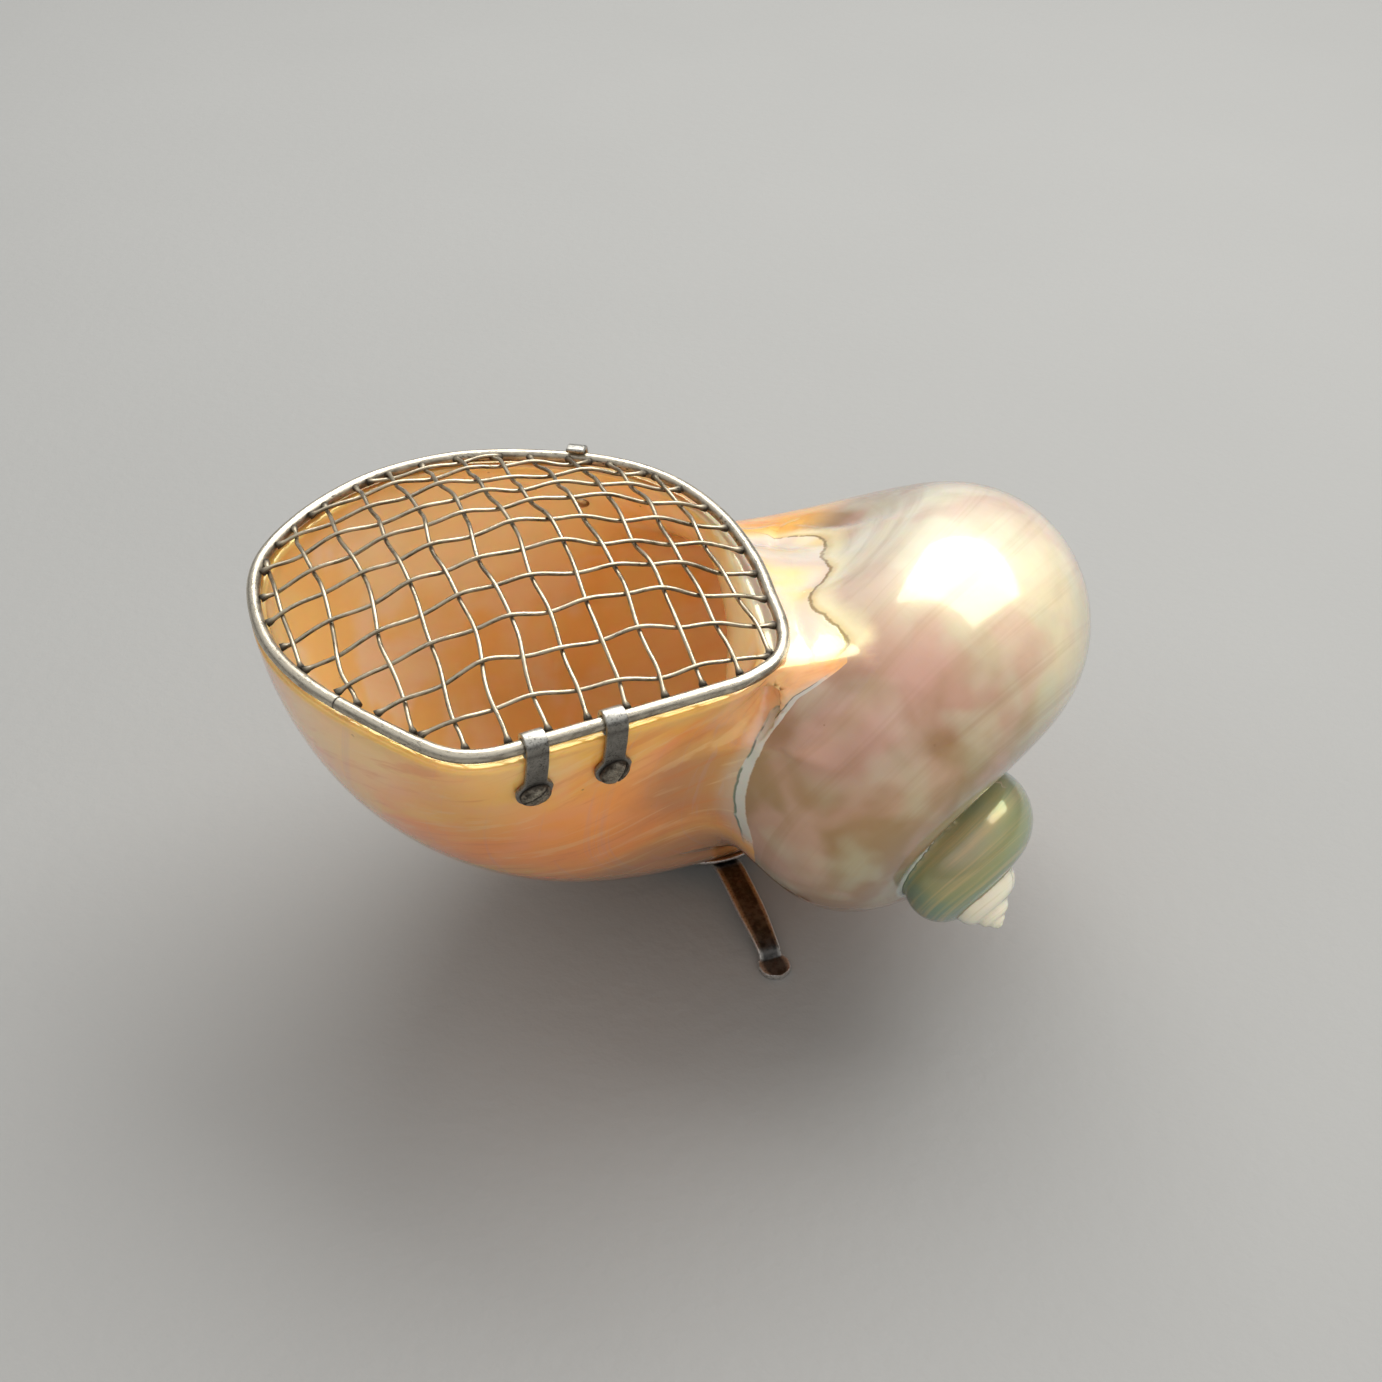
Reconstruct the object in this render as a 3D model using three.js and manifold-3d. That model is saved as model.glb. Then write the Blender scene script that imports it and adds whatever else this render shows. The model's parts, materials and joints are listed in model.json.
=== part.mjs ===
// Trinket box made of a turban shell: the mouth of the shell is the bowl, its lid is a domed wire
// mesh on a wire hoop, hinged on two straps, held by a spring clip, and three legs carry the shell.
// Millimetres, +Z up, the hinge side towards -Y, the spire towards +X.
// Everything is built in the mouth's frame, whose origin is the middle of the mouth on the hoop's
// plane, and the last lines set the whole box down on its feet.
import * as THREE from 'three';
import { mergeVertices } from 'three/addons/utils/BufferGeometryUtils.js';
import Module from 'manifold-3d';

const wasm = await Module();
wasm.setup();

// Mouth of the shell and the hoop on it
const MOUTH_LENGTH = 82.4; // long way across, along X
const HINGE_START = [1.8, -47.7]; // ends of the straight hinge side, in hundredths of the mouth's length
const HINGE_END = [41.9, -28.8];
// The rest of the outline, from the hinge's far end round to its start, in the same hundredths
const OUTLINE = [
  [46.4, -25], [48.9, -21.6], [50.2, -17], [50.1, -10.3], [48.5, -2.4], [45.9, 9.7], [39.4, 26],
  [29.4, 39.1], [17.4, 46.2], [-1.2, 49.4], [-17.1, 48.1], [-32.2, 40.5], [-42.8, 28.2], [-49.4, 13],
  [-49.8, 1.9], [-44.7, -15.2], [-35.8, -27.8], [-21.6, -39.7], [-9.6, -47.8], [-5.6, -49], [-1.2, -48.7],
];

// Shell: an ellipse that turns round a tilted axis and grows at a steady rate
const AXIS_BEARING = 39.7; // degrees that the spire points away from -Y, towards +X
const AXIS_DIP = 33.1; // degrees that the spire points below level
const APEX = [95, -27.2, -62.9]; // tip of the spire, in hundredths of the mouth's length
const MOUTH_BEARING = 26; // degrees about the axis from the mouth's middle to the last section
const WHORL_SIZE = 115.5; // spiral's size at the last section, in hundredths of the mouth's length
const GROWTH = 2.82; // size from one turn to the next
const SECTION_REACH = 0.473; // section's middle out from the axis, as a share of the spiral's size
const SECTION_DROP = 0.989; // section's middle down the axis
const SECTION_WIDE = 0.468; // half width across
const SECTION_LONG = 0.511; // half width along
const SECTION_TILT = -33.2; // degrees
const FLARE_START = -378; // the last turn widens from this angle on
const FLARE = 1.118;
const FLARE_DROP = 0.896;
const FLARE_GIRTH = 0.838;
const SPIRE_START = -1440; // four whorls before the last section
const PILLAR_END = -330; // the pillar on the axis ends here
const MOUTH_END = 52; // the tube runs on past the lip, which is then cut level
const HOLLOW_START = -620; // the spire's first whorls are solid
const WALL = 2.6; // shell's thickness
const COLUMELLA = 0.08; // pillar inside, its radius as a share of the spiral's size
const PILLAR = 0.04; // the pillar's own core, a share of the height down the axis
const CORE = 0.01; // whorls keep this share of their size off the axis
const LIP_PAST_HOOP = 0.05; // lip's outer edge beyond the hoop's own
const TRIM_DEPTH = 32; // the wall bends to the hoop's outline over this depth
// Callus: a saddle that closes the gap between the mouth's inner side and the whorl before it.
// Each section is how far back it is, its height at the mouth's side, in the middle and at the
// whorl, and how deep it reaches, all in hundredths of the mouth's length.
const CALLUS = [
  [-25.5, -15, -16, -14, 5], [-21.5, -5, -7.5, -6, 7], [-17, -3, -3.6, -3.1, 15], [-7, -3, -5.4, -0.6, 27],
  [5, -3.2, -8, 1.8, 29], [17, -4.2, -11, 1.2, 29], [29, -7, -15.5, -6, 17], [41, -13, -20, -15.6, 10],
  [49, -18, -22, -19.5, 6],
];
const CALLUS_SIDE = 1.2; // its edges lie this deep in the wall and in the whorl
const TUBE_SIDES = 24;
const HOLLOW_SIDES = 20;

// Hoop and mesh
const HOOP_RADIUS = 1.05;
const HOOP_SIDES = 8;
const MESH_WIRE = 0.7; // diameter
const MESH_SIDES = 5;
const WARP_PITCH = 6.07; // along the hinge
const WARP_START = 0.9; // first warp, from the hinge's start
const WARP_ANGLE = 109.8; // degrees from +X
const WEFT_PITCH = 6.9;
const WEFT_ANGLE = 20.6;
const WEFT_START = -2.5; // the middle weft passes this far from the mouth's middle
const DOME_HEIGHT = 9.3;
const DOME_POWER = 1.2;
const WEAVE_GAP = 0.12; // between wires that cross
const SOLDER_GAP = 0.15; // between a wire's end and the hoop
const SHORTEST_WIRE = 9;
const MOST_WIRES = 12; // to either side of the middle

// Straps, screws and nuts
const GAP = 0.3; // between metal that lies on metal or on the shell
const SEAT_GAP = 0.35; // between a nut and the wall inside
const FACET_RISE = 0.79; // the wall's flats lie this far inside its curve, in hundredths of the mouth
const STRAP_WIDTH = 3.4;
const STRAP_THICKNESS = 0.8;
const HINGE_PLACES = [4.3, 16.5]; // middles of the two straps, from the hinge's start
const LIP_GAP_HINGE = 1.65; // between the hoop and the lip under it, at the hinge
const LIP_GAP_CATCH = 0.35; // the same on the far side
const LIP_SLOPE_RUN = 98; // from the one to the other, in hundredths of the mouth's length
const SCREW_DEPTH = 9.4; // screws below the hoop
const EYE_RADIUS = 2.7;
const ROLL_END = 285; // degrees that the strap's top turns round the hoop
const LEAF_DEPTHS = [7, 5, 3.2]; // places below the hoop where the leaf follows the wall
const PROBE_BACK = 4; // the wall is looked for from this far inside the hoop
const PROBE_REACH = 14;
const HEAD_RADIUS = 2.1;
const HEAD_HEIGHT = 1.3;
const SHANK_RADIUS = 0.9;
const HOLE_CLEARANCE = 0.25;
const SLOT_WIDTH = 0.6;
const SLOT_DEPTH = 0.6;
const NUT_RADIUS = 2.2;
const NUT_HEIGHT = 1.4;
const THREAD_CLEARANCE = 0.06;
const SHANK_PAST_NUT = 1;

// Spring clip on the far side
const CATCH_PLACE = 7.8; // along X from the mouth's middle
const CATCH_WIDTH = 3.1;
const CATCH_NOSE = 1.1; // clip reaches this far inside the hoop's centreline
const CATCH_BEND = 5.6; // depth below the hoop where the clip flexes
const CATCH_FOOT_BEND = 7.5; // depth where the foot leaves the eye
const CATCH_UPPER = 3; // depth where the spring leaves the wall
const CATCH_CLEARANCE = 0.2; // more than the usual gap, from the hoop

// Stand
const GROUND_CLEARANCE = 5; // floor to the shell's lowest point
const PLATE_PLACE = [35.8, 37]; // plate's middle under the shell, in hundredths of the mouth's length
const PLATE_RADIUS = 14;
const PLATE_THICKNESS = 0.9;
const PLATE_DISH = 85; // radius of the dished top, in the same hundredths
const BOLT_SHANK = 1.4;
const BOLT_HEAD = 3;
const BOLT_NUT = 3; // nut's radius
const LEG_WIDTH = 4.3;
const LEG_THICKNESS = 1;
const LEG_BEARINGS = [-70, 48.6, 168.6]; // degrees from +X
const LEG_NAMES = ['front', 'back', 'side'];
const LEG_REACHES = [38.2, 31, 31]; // plate's middle to the middle of a toe
const LEG_INNER = 5.2; // leg's inner end, from the plate's middle
const LEG_PAST_PLATE = 2; // where it bends down, beyond the plate's edge
const FOOT_RUN = 3.6; // where it bends again, before the toe's middle
const FOOT_RISE = 1.5;
const TOE_RADIUS = 2.8;
const RIVET_PLACE = 9.8; // from the plate's middle
const RIVET_RADIUS = 0.8;
const RIVET_HEAD = 1.36;
const RIVET_HEAD_HEIGHT = 0.6;

const degrees = THREE.MathUtils.degToRad;
const smoothstep = THREE.MathUtils.smoothstep;
const clamp = THREE.MathUtils.clamp;
const vector = (x, y, z = 0) => new THREE.Vector3(x, y, z);
const ofMouth = (hundredths) => (hundredths * MOUTH_LENGTH) / 100;
const UP = vector(0, 0, 1);
const flat = (x, y) => new THREE.Vector2(x, y);

const material = (name, color, roughness, metalness) =>
  new THREE.MeshStandardMaterial({ name, color, roughness, metalness });
const nacre = material('nacre', 0xe8b58a, 0.25, 0);
const hoopMetal = material('hoop', 0x9c968c, 0.38, 0.9);
const meshMetal = material('mesh', 0x7d7263, 0.45, 0.9);
const strapMetal = material('strap', 0x6f6c68, 0.45, 0.9);
const legMetal = material('leg', 0x5a5049, 0.5, 0.85);

const box = new THREE.Group();

function addPart(name, geometry, look) {
  const mesh = new THREE.Mesh(geometry, look);
  mesh.name = name;
  box.add(mesh);
  return mesh;
}

// Closed surface through rings of points. Rings that don't close on themselves get flat ends.
function loft(rings, closed = false) {
  const count = rings[0].length;
  const positions = rings.flat().flatMap((point) => [point.x, point.y, point.z]);
  const faces = [];
  const bands = closed ? rings.length : rings.length - 1;
  for (let ring = 0; ring < bands; ring += 1) {
    const next = (ring + 1) % rings.length;
    for (let side = 0; side < count; side += 1) {
      const turn = (side + 1) % count;
      const [a, b] = [ring * count + side, ring * count + turn];
      const [c, d] = [next * count + side, next * count + turn];
      faces.push(a, b, d, a, d, c);
    }
  }
  if (!closed) {
    const last = (rings.length - 1) * count;
    for (let side = 1; side < count - 1; side += 1) {
      faces.push(0, side + 1, side, last, last + side, last + side + 1);
    }
  }
  const geometry = new THREE.BufferGeometry();
  geometry.setAttribute('position', new THREE.Float32BufferAttribute(positions, 3));
  geometry.setIndex(faces);
  return facingOut(geometry);
}

// Turns every triangle over when the surface encloses a negative volume
function facingOut(geometry) {
  const position = geometry.getAttribute('position');
  const faces = geometry.getIndex();
  const corner = (k) => vector().fromBufferAttribute(position, faces.getX(k));
  let volume = 0;
  for (let k = 0; k < faces.count; k += 3) {
    volume += corner(k).dot(corner(k + 1).cross(corner(k + 2)));
  }
  if (volume < 0) {
    geometry.setIndex(Array.from(faces.array).reverse());
  }
  return geometry;
}

// Solid of a closed geometry, whose points become one where they lie closer than the weld
function solidOf(geometry, weld = 1e-4) {
  const bare = geometry.clone();
  bare.deleteAttribute('normal');
  bare.deleteAttribute('uv');
  const merged = mergeVertices(bare, weld);
  return new wasm.Manifold(
    new wasm.Mesh({
      numProp: 3,
      vertProperties: new Float32Array(merged.getAttribute('position').array),
      triVerts: new Uint32Array(merged.getIndex().array),
    }),
  );
}

// The main piece of a solid, without the specks that cuts leave along the axis
function largest(solid) {
  return solid.decompose().reduce((best, piece) => (piece.volume() > best.volume() ? piece : best));
}

function geometryOf(solid) {
  const mesh = solid.getMesh();
  const geometry = new THREE.BufferGeometry();
  geometry.setAttribute('position', new THREE.Float32BufferAttribute(mesh.vertProperties, 3));
  geometry.setIndex(Array.from(mesh.triVerts));
  return geometry;
}

// Frame whose local X, Y and Z run along the given directions
function placed(geometry, origin, xAxis, yAxis) {
  const zAxis = xAxis.clone().cross(yAxis);
  const frame = new THREE.Matrix4().makeBasis(xAxis, yAxis, zAxis).setPosition(origin);
  return geometry.clone().applyMatrix4(frame);
}

// Round bar from one point to another
function bar(from, to, radius, sides = 16) {
  const length = from.distanceTo(to);
  const geometry = new THREE.CylinderGeometry(radius, radius, length, sides);
  const turn = new THREE.Quaternion().setFromUnitVectors(vector(0, 1), to.clone().sub(from).normalize());
  geometry.applyQuaternion(turn);
  const middle = from.clone().lerp(to, 0.5);
  return geometry.translate(middle.x, middle.y, middle.z);
}

// Round wire along a line of points
function wire(points, radius, sides, closed = false) {
  const at = (k) => points[closed ? (k + points.length) % points.length : clamp(k, 0, points.length - 1)];
  let across = UP.clone();
  const rings = points.map((point, k) => {
    const along = at(k + 1).clone().sub(at(k - 1)).normalize();
    const side = along.clone().cross(across).normalize();
    across = side.clone().cross(along).normalize();
    return Array.from({ length: sides }, (_, n) => {
      const angle = (2 * Math.PI * n) / sides;
      return point.clone().addScaledVector(side, radius * Math.cos(angle))
        .addScaledVector(across, radius * Math.sin(angle));
    });
  });
  return loft(rings, closed);
}

// Mouth outline: a straight hinge side and a smooth curve round the rest
const hingeStart = vector(...HINGE_START.map(ofMouth));
const hingeEnd = vector(...HINGE_END.map(ofMouth));
const hingeAlong = hingeEnd.clone().sub(hingeStart).normalize();
const hingeOut = hingeAlong.clone().cross(UP);
const hoopLine = hoopPoints(64);
const hoopAngles = hoopLine.map((point) => Math.atan2(point.y, point.x));

function hoopPoints(steps) {
  const rest = OUTLINE.map(([x, y]) => vector(ofMouth(x), ofMouth(y)));
  const curve = new THREE.CatmullRomCurve3([hingeEnd, ...rest, hingeStart], false, 'centripetal');
  return curve.getSpacedPoints(steps);
}

// Distance from the mouth's middle to the hoop's centreline, in a direction
function hoopReach(angle) {
  const direction = vector(Math.cos(angle), Math.sin(angle));
  for (let k = 0; k < hoopLine.length; k += 1) {
    const from = hoopLine[k];
    const edge = hoopLine[(k + 1) % hoopLine.length].clone().sub(from);
    const facing = direction.x * edge.y - direction.y * edge.x;
    const share = (from.y * direction.x - from.x * direction.y) / -facing;
    const reach = (from.x * edge.y - from.y * edge.x) / facing;
    if (share >= 0 && share <= 1 && reach > 0) return reach;
  }
  return hoopLine[0].length();
}

// Shell's frame: its axis, and two directions square to it that the sections turn through
const axis = vector(
  Math.cos(degrees(AXIS_DIP)) * Math.sin(degrees(AXIS_BEARING)),
  -Math.cos(degrees(AXIS_DIP)) * Math.cos(degrees(AXIS_BEARING)),
  -Math.sin(degrees(AXIS_DIP)),
);
const apex = vector(...APEX.map(ofMouth));
const towardsMouth = apex.clone().negate().projectOnPlane(axis).normalize();
const first = towardsMouth.clone().applyAxisAngle(axis, -degrees(MOUTH_BEARING));
const second = first.clone().cross(axis);

// Ellipse of the whorl at an angle: middle and half widths, less the wall where it is the hollow's
function section(theta, wall = 0) {
  const size = ofMouth(WHORL_SIZE) * GROWTH ** (theta / 360);
  const late = clamp((theta - FLARE_START) / -FLARE_START, 0, 1.6) ** 2;
  const spread = (limit) => 1 + (limit - 1) * late;
  return {
    size,
    reach: size * SECTION_REACH * spread(FLARE),
    drop: size * SECTION_DROP * spread(FLARE * FLARE_DROP),
    wide: size * SECTION_WIDE * spread(FLARE * FLARE_GIRTH) - wall,
    long: size * SECTION_LONG * spread(FLARE * FLARE_GIRTH) - wall,
  };
}

const tiltCos = Math.cos(degrees(SECTION_TILT));
const tiltSin = Math.sin(degrees(SECTION_TILT));

// Signed distance, near the surface, from a point to the last whorl before its lip is trimmed
function naturalDistance(point, wall = 0, turn = 0) {
  const offset = point.clone().sub(apex);
  const theta = THREE.MathUtils.radToDeg(Math.atan2(offset.dot(second), offset.dot(first))) + turn;
  const { reach, drop, wide, long } = section(theta, wall);
  const out = Math.hypot(offset.dot(first), offset.dot(second)) - reach;
  const down = -offset.dot(axis) - drop;
  const across = (out * tiltCos + down * tiltSin) / wide;
  const along = (down * tiltCos - out * tiltSin) / long;
  return (Math.hypot(across, along) - 1) * Math.min(wide, long);
}

// The point where a distance changes sign between two places on a ray
function crossing(distance, origin, direction, near, far) {
  let [low, high] = [near, far];
  const startSign = Math.sign(distance(origin.clone().addScaledVector(direction, low)));
  for (let k = 0; k < 40; k += 1) {
    const middle = (low + high) / 2;
    const sign = Math.sign(distance(origin.clone().addScaledVector(direction, middle)));
    if (sign === startSign) low = middle;
    else high = middle;
  }
  return (low + high) / 2;
}

// Share by which the natural wall misses the hoop's outline, for each direction from the middle
const STRETCHES = 72;
const stretches = Array.from({ length: STRETCHES }, (_, k) => {
  const angle = (2 * Math.PI * k) / STRETCHES;
  const wanted = hoopReach(angle) + HOOP_RADIUS + LIP_PAST_HOOP;
  const direction = vector(Math.cos(angle), Math.sin(angle));
  const natural = crossing(naturalDistance, vector(), direction, 0.4 * wanted, 1.6 * wanted);
  return 1 - natural / wanted;
});

function stretchAt(angle) {
  const place = ((angle / (2 * Math.PI) + 1) % 1) * STRETCHES;
  const low = Math.floor(place);
  return THREE.MathUtils.lerp(stretches[low % STRETCHES], stretches[(low + 1) % STRETCHES], place - low);
}

// Part of the stretch that applies at a place: all of it at the lip, none of it deep down or far out
function trimShare(reach, angle, z) {
  const depth = smoothstep(z, -TRIM_DEPTH, 0);
  const aside = 1 - smoothstep(reach / hoopReach(angle), 1.05, 1.6);
  return stretchAt(angle) * depth * aside;
}

// Where a natural point ends up once the lip is bent to the hoop's outline
function trimmed(point) {
  const angle = Math.atan2(point.y, point.x);
  const natural = Math.hypot(point.x, point.y);
  let reach = natural;
  for (let k = 0; k < 8; k += 1) reach = natural / (1 - trimShare(reach, angle, point.z));
  return vector(reach * Math.cos(angle), reach * Math.sin(angle), point.z);
}

// Signed distance to the real wall, which is the natural one seen from the untrimmed place
function wallDistance(point, wall = 0) {
  const angle = Math.atan2(point.y, point.x);
  const reach = Math.hypot(point.x, point.y);
  const natural = reach * (1 - trimShare(reach, angle, point.z));
  return naturalDistance(vector(natural * Math.cos(angle), natural * Math.sin(angle), point.z), wall);
}

function wallNormal(point) {
  const step = 0.05;
  const slope = [vector(step, 0, 0), vector(0, step, 0), vector(0, 0, step)].map(
    (move) => wallDistance(point.clone().add(move)) - wallDistance(point.clone().sub(move)),
  );
  return vector(...slope).normalize();
}

// Outline of the whorl at an angle, kept off the axis by a small share of its size
function whorlRing(theta, wall, core, sides) {
  const { size, reach, drop, wide, long } = section(theta, wall);
  const out = first.clone().multiplyScalar(Math.cos(degrees(theta)))
    .addScaledVector(second, Math.sin(degrees(theta)));
  return Array.from({ length: sides }, (_, k) => {
    const angle = (2 * Math.PI * k) / sides;
    const [across, along] = [wide * Math.cos(angle), long * Math.sin(angle)];
    const fromAxis = Math.max(reach + across * tiltCos - along * tiltSin, core * size);
    const down = drop + across * tiltSin + along * tiltCos;
    return trimmed(apex.clone().addScaledVector(axis, -down).addScaledVector(out, fromAxis));
  });
}

function whorl(from, to, step, wall = 0, core = CORE, sides = TUBE_SIDES) {
  const count = Math.max(1, Math.round((to - from) / step));
  const rings = Array.from({ length: count + 1 }, (_, k) =>
    whorlRing(from + ((to - from) * k) / count, wall, core, sides));
  return solidOf(loft(rings));
}

// Everything above the lip: a block whose underside tips with the lip
function aboveLip() {
  const size = 2 * MOUTH_LENGTH;
  const slope = (LIP_GAP_HINGE - LIP_GAP_CATCH) / ofMouth(LIP_SLOPE_RUN);
  const corners = [[-size, -size], [size, -size], [size, size], [-size, size]];
  const lip = (x, y) => {
    const fromHinge = -vector(x, y).sub(hingeStart).dot(hingeOut);
    return slope * fromHinge - HOOP_RADIUS - LIP_GAP_HINGE;
  };
  return solidOf(loft([
    corners.map(([x, y]) => vector(x, y, lip(x, y))),
    corners.map(([x, y]) => vector(x, y, size)),
  ]));
}

// Pillar on the axis that joins the whorls' inner edges
function columella() {
  const shallow = section(SPIRE_START).drop;
  const deep = section(PILLAR_END).drop;
  const points = [[0, shallow], [PILLAR * shallow, shallow], [PILLAR * deep, deep], [0, deep]];
  const cone = new THREE.LatheGeometry(points.map(([r, h]) => new THREE.Vector2(r, h)), 10);
  const turn = new THREE.Quaternion().setFromUnitVectors(vector(0, 1), axis.clone().negate());
  return facingOut(mergeVertices(cone.applyQuaternion(turn).translate(apex.x, apex.y, apex.z)));
}

const olderDistance = (point) => naturalDistance(point, 0, -360);

function callus() {
  const out = vector(1, 0);
  return solidOf(loft(CALLUS.map((row) => {
    const [y, wallSide, middle, whorlSide, depth] = row.map(ofMouth);
    const reachOf = (distance, z, near, far) =>
      near + crossing(distance, vector(near, y, z), out, 0, far - near);
    const wall = reachOf(wallDistance, wallSide, 0.1 * MOUTH_LENGTH, 0.6 * MOUTH_LENGTH) - CALLUS_SIDE;
    const older = (z) => reachOf(olderDistance, z, wall, 0.75 * MOUTH_LENGTH) + CALLUS_SIDE;
    const curve = new THREE.QuadraticBezierCurve(
      flat(wall, wallSide), flat(older(middle) - 2 * CALLUS_SIDE, middle), flat(older(whorlSide), whorlSide),
    );
    const root = flat((wall + older(middle)) / 2, middle - depth);
    return [root, ...curve.getPoints(7)].map(({ x, y: z }) => vector(x, y, z));
  })));
}

function shellSolid() {
  const stretchesOfSpire = [[SPIRE_START, -1080, 24, 10], [-1080, -720, 20, 14]];
  const turns = [];
  for (const [from, to, step, sides] of stretchesOfSpire) {
    turns.push({ from, outer: whorl(from, (from + to) / 2, step, 0, CORE, sides) });
    turns.push({ from: (from + to) / 2, outer: whorl((from + to) / 2, to, step, 0, CORE, sides) });
  }
  for (let from = -720; from < MOUTH_END; from += 90) {
    const to = Math.min(from + 90, MOUTH_END);
    const step = from < -360 ? 18 : 11;
    const turn = { from, outer: whorl(from, to, step) };
    const hollowFrom = Math.max(from, HOLLOW_START);
    if (hollowFrom < to) turn.inner = whorl(hollowFrom, to, 15, WALL, COLUMELLA, HOLLOW_SIDES);
    turns.push(turn);
  }
  const cut = aboveLip();
  let body = solidOf(columella()).add(callus().subtract(cut));
  let hollow = null;
  turns.forEach((turn) => {
    const last = turn.from >= -180;
    const outer = last ? turn.outer.subtract(cut) : turn.outer;
    if (turn.inner) {
      const older = turns.filter((other) => other.from <= turn.from - 180).map((other) => other.outer);
      const room = older.reduce((solid, other) => solid.subtract(other), turn.inner);
      hollow = hollow ? hollow.add(room) : room;
    }
    body = body.add(outer);
  });
  return largest(body.subtract(hollow));
}

// A spot on the shell's outer wall, with the wall's normal there
function spotOnRay(from, direction, far) {
  const point = from.clone().addScaledVector(direction, crossing(wallDistance, from, direction, 0, far));
  return { point, normal: wallNormal(point) };
}

// The spot on the wall that lies out from a point near it
const wallSpot = (near, out) => spotOnRay(near.clone().addScaledVector(out, -PROBE_BACK), out, PROBE_REACH);

// Flat strip bent along a line in its side view, as wide as asked
function strap(line, thickness, width) {
  const normals = line.map((_, k) => {
    const before = line[Math.max(k - 1, 0)];
    const after = line[Math.min(k + 1, line.length - 1)];
    const along = after.clone().sub(before).normalize();
    return new THREE.Vector2(-along.y, along.x);
  });
  const offset = (side) =>
    line.map((point, k) => point.clone().addScaledVector(normals[k], (side * thickness) / 2));
  const shape = new THREE.Shape([...offset(1), ...offset(-1).reverse()]);
  const geometry = new THREE.ExtrudeGeometry(shape, { depth: width, bevelEnabled: false });
  return geometry.translate(0, 0, -width / 2);
}

const arc = (radius, from, to, steps) =>
  Array.from({ length: steps + 1 }, (_, k) => {
    const angle = degrees(from + ((to - from) * k) / steps);
    return flat(radius * Math.cos(angle), radius * Math.sin(angle));
  });

// Screw or bolt with a domed, slotted head, seated at a spot and pointing in along its normal
function screw(spot, seat, headRadius, shankRadius, length) {
  const profile = [
    flat(0, HEAD_HEIGHT), flat(0.5 * headRadius, 0.86 * HEAD_HEIGHT),
    flat(0.87 * headRadius, 0.5 * HEAD_HEIGHT), flat(headRadius, 0.12 * HEAD_HEIGHT),
    flat(headRadius, 0), flat(shankRadius, 0), flat(shankRadius, -length), flat(0, -length),
  ];
  const turned = facingOut(mergeVertices(bare(new THREE.LatheGeometry(profile, 14))));
  const slot = new THREE.BoxGeometry(3 * headRadius, 2 * SLOT_DEPTH, SLOT_WIDTH).translate(0, HEAD_HEIGHT, 0);
  return geometryOf(stood(solidOf(turned).subtract(solidOf(slot)), spot, seat));
}

function bare(geometry) {
  geometry.deleteAttribute('normal');
  geometry.deleteAttribute('uv');
  return geometry;
}

// Moves what was made along +Y to a spot, along its normal, a seat's height off the wall
function stood(solid, spot, seat) {
  const turn = new THREE.Quaternion().setFromUnitVectors(vector(0, 1), spot.normal);
  const place = spot.point.clone().addScaledVector(spot.normal, seat);
  const matrix = new THREE.Matrix4().compose(place, turn, vector(1, 1, 1));
  return solidOf(geometryOf(solid).applyMatrix4(matrix));
}

function nut(spot, seat, radius, height, boreRadius) {
  const shape = new THREE.Shape(arc(radius, 0, 300, 5));
  shape.holes.push(new THREE.Path(arc(boreRadius, 0, 330, 11)));
  const hexagon = new THREE.ExtrudeGeometry(shape, { depth: height, bevelEnabled: false });
  return geometryOf(stood(solidOf(hexagon.rotateX(-Math.PI / 2)), spot, seat));
}

// Round hole through whatever stands at a spot
function drill(solid, spot, radius, reach) {
  const from = spot.point.clone().addScaledVector(spot.normal, reach);
  const to = spot.point.clone().addScaledVector(spot.normal, -reach);
  return solid.subtract(solidOf(bar(from, to, radius, 12)));
}

// Round eye of a strap, lying on the wall at a spot
function eye(spot, radius, thickness) {
  const from = spot.point.clone().addScaledVector(spot.normal, GAP);
  const to = spot.point.clone().addScaledVector(spot.normal, GAP + thickness);
  return solidOf(bar(from, to, radius, 16));
}

// Height above a spot, negative inside the shell, where a nut's outer face lies
function nutSeatAt(spot) {
  const inward = spot.normal.clone().negate();
  const distance = (point) => wallDistance(point, WALL);
  const wall = crossing(distance, spot.point, inward, 0.5 * WALL, 2.5 * WALL);
  return -(wall + ofMouth(FACET_RISE) + SEAT_GAP + NUT_HEIGHT);
}

let shell = shellSolid();
const headSeat = GAP + STRAP_THICKNESS + GAP / 2;

function addFastener(name, spot) {
  shell = drill(shell, spot, SHANK_RADIUS + HOLE_CLEARANCE, 2 * WALL);
  const nutSeat = nutSeatAt(spot);
  const length = headSeat - nutSeat + SHANK_PAST_NUT;
  addPart(`${name}_screw`, screw(spot, headSeat, HEAD_RADIUS, SHANK_RADIUS, length), strapMetal);
  const bore = SHANK_RADIUS + THREAD_CLEARANCE;
  addPart(`${name}_nut`, nut(spot, nutSeat, NUT_RADIUS, NUT_HEIGHT, bore), strapMetal);
}

// Side view of the wall below a place on the hoop: how far out the middle of a strap on it lies
function leafLine(origin, out, depths) {
  return depths.map((depth) => {
    const level = origin.clone().addScaledVector(UP, -depth);
    const { point, normal } = wallSpot(level, out);
    const middle = point.addScaledVector(normal, GAP + STRAP_THICKNESS / 2).sub(origin);
    return flat(middle.dot(out), middle.z);
  });
}

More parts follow.
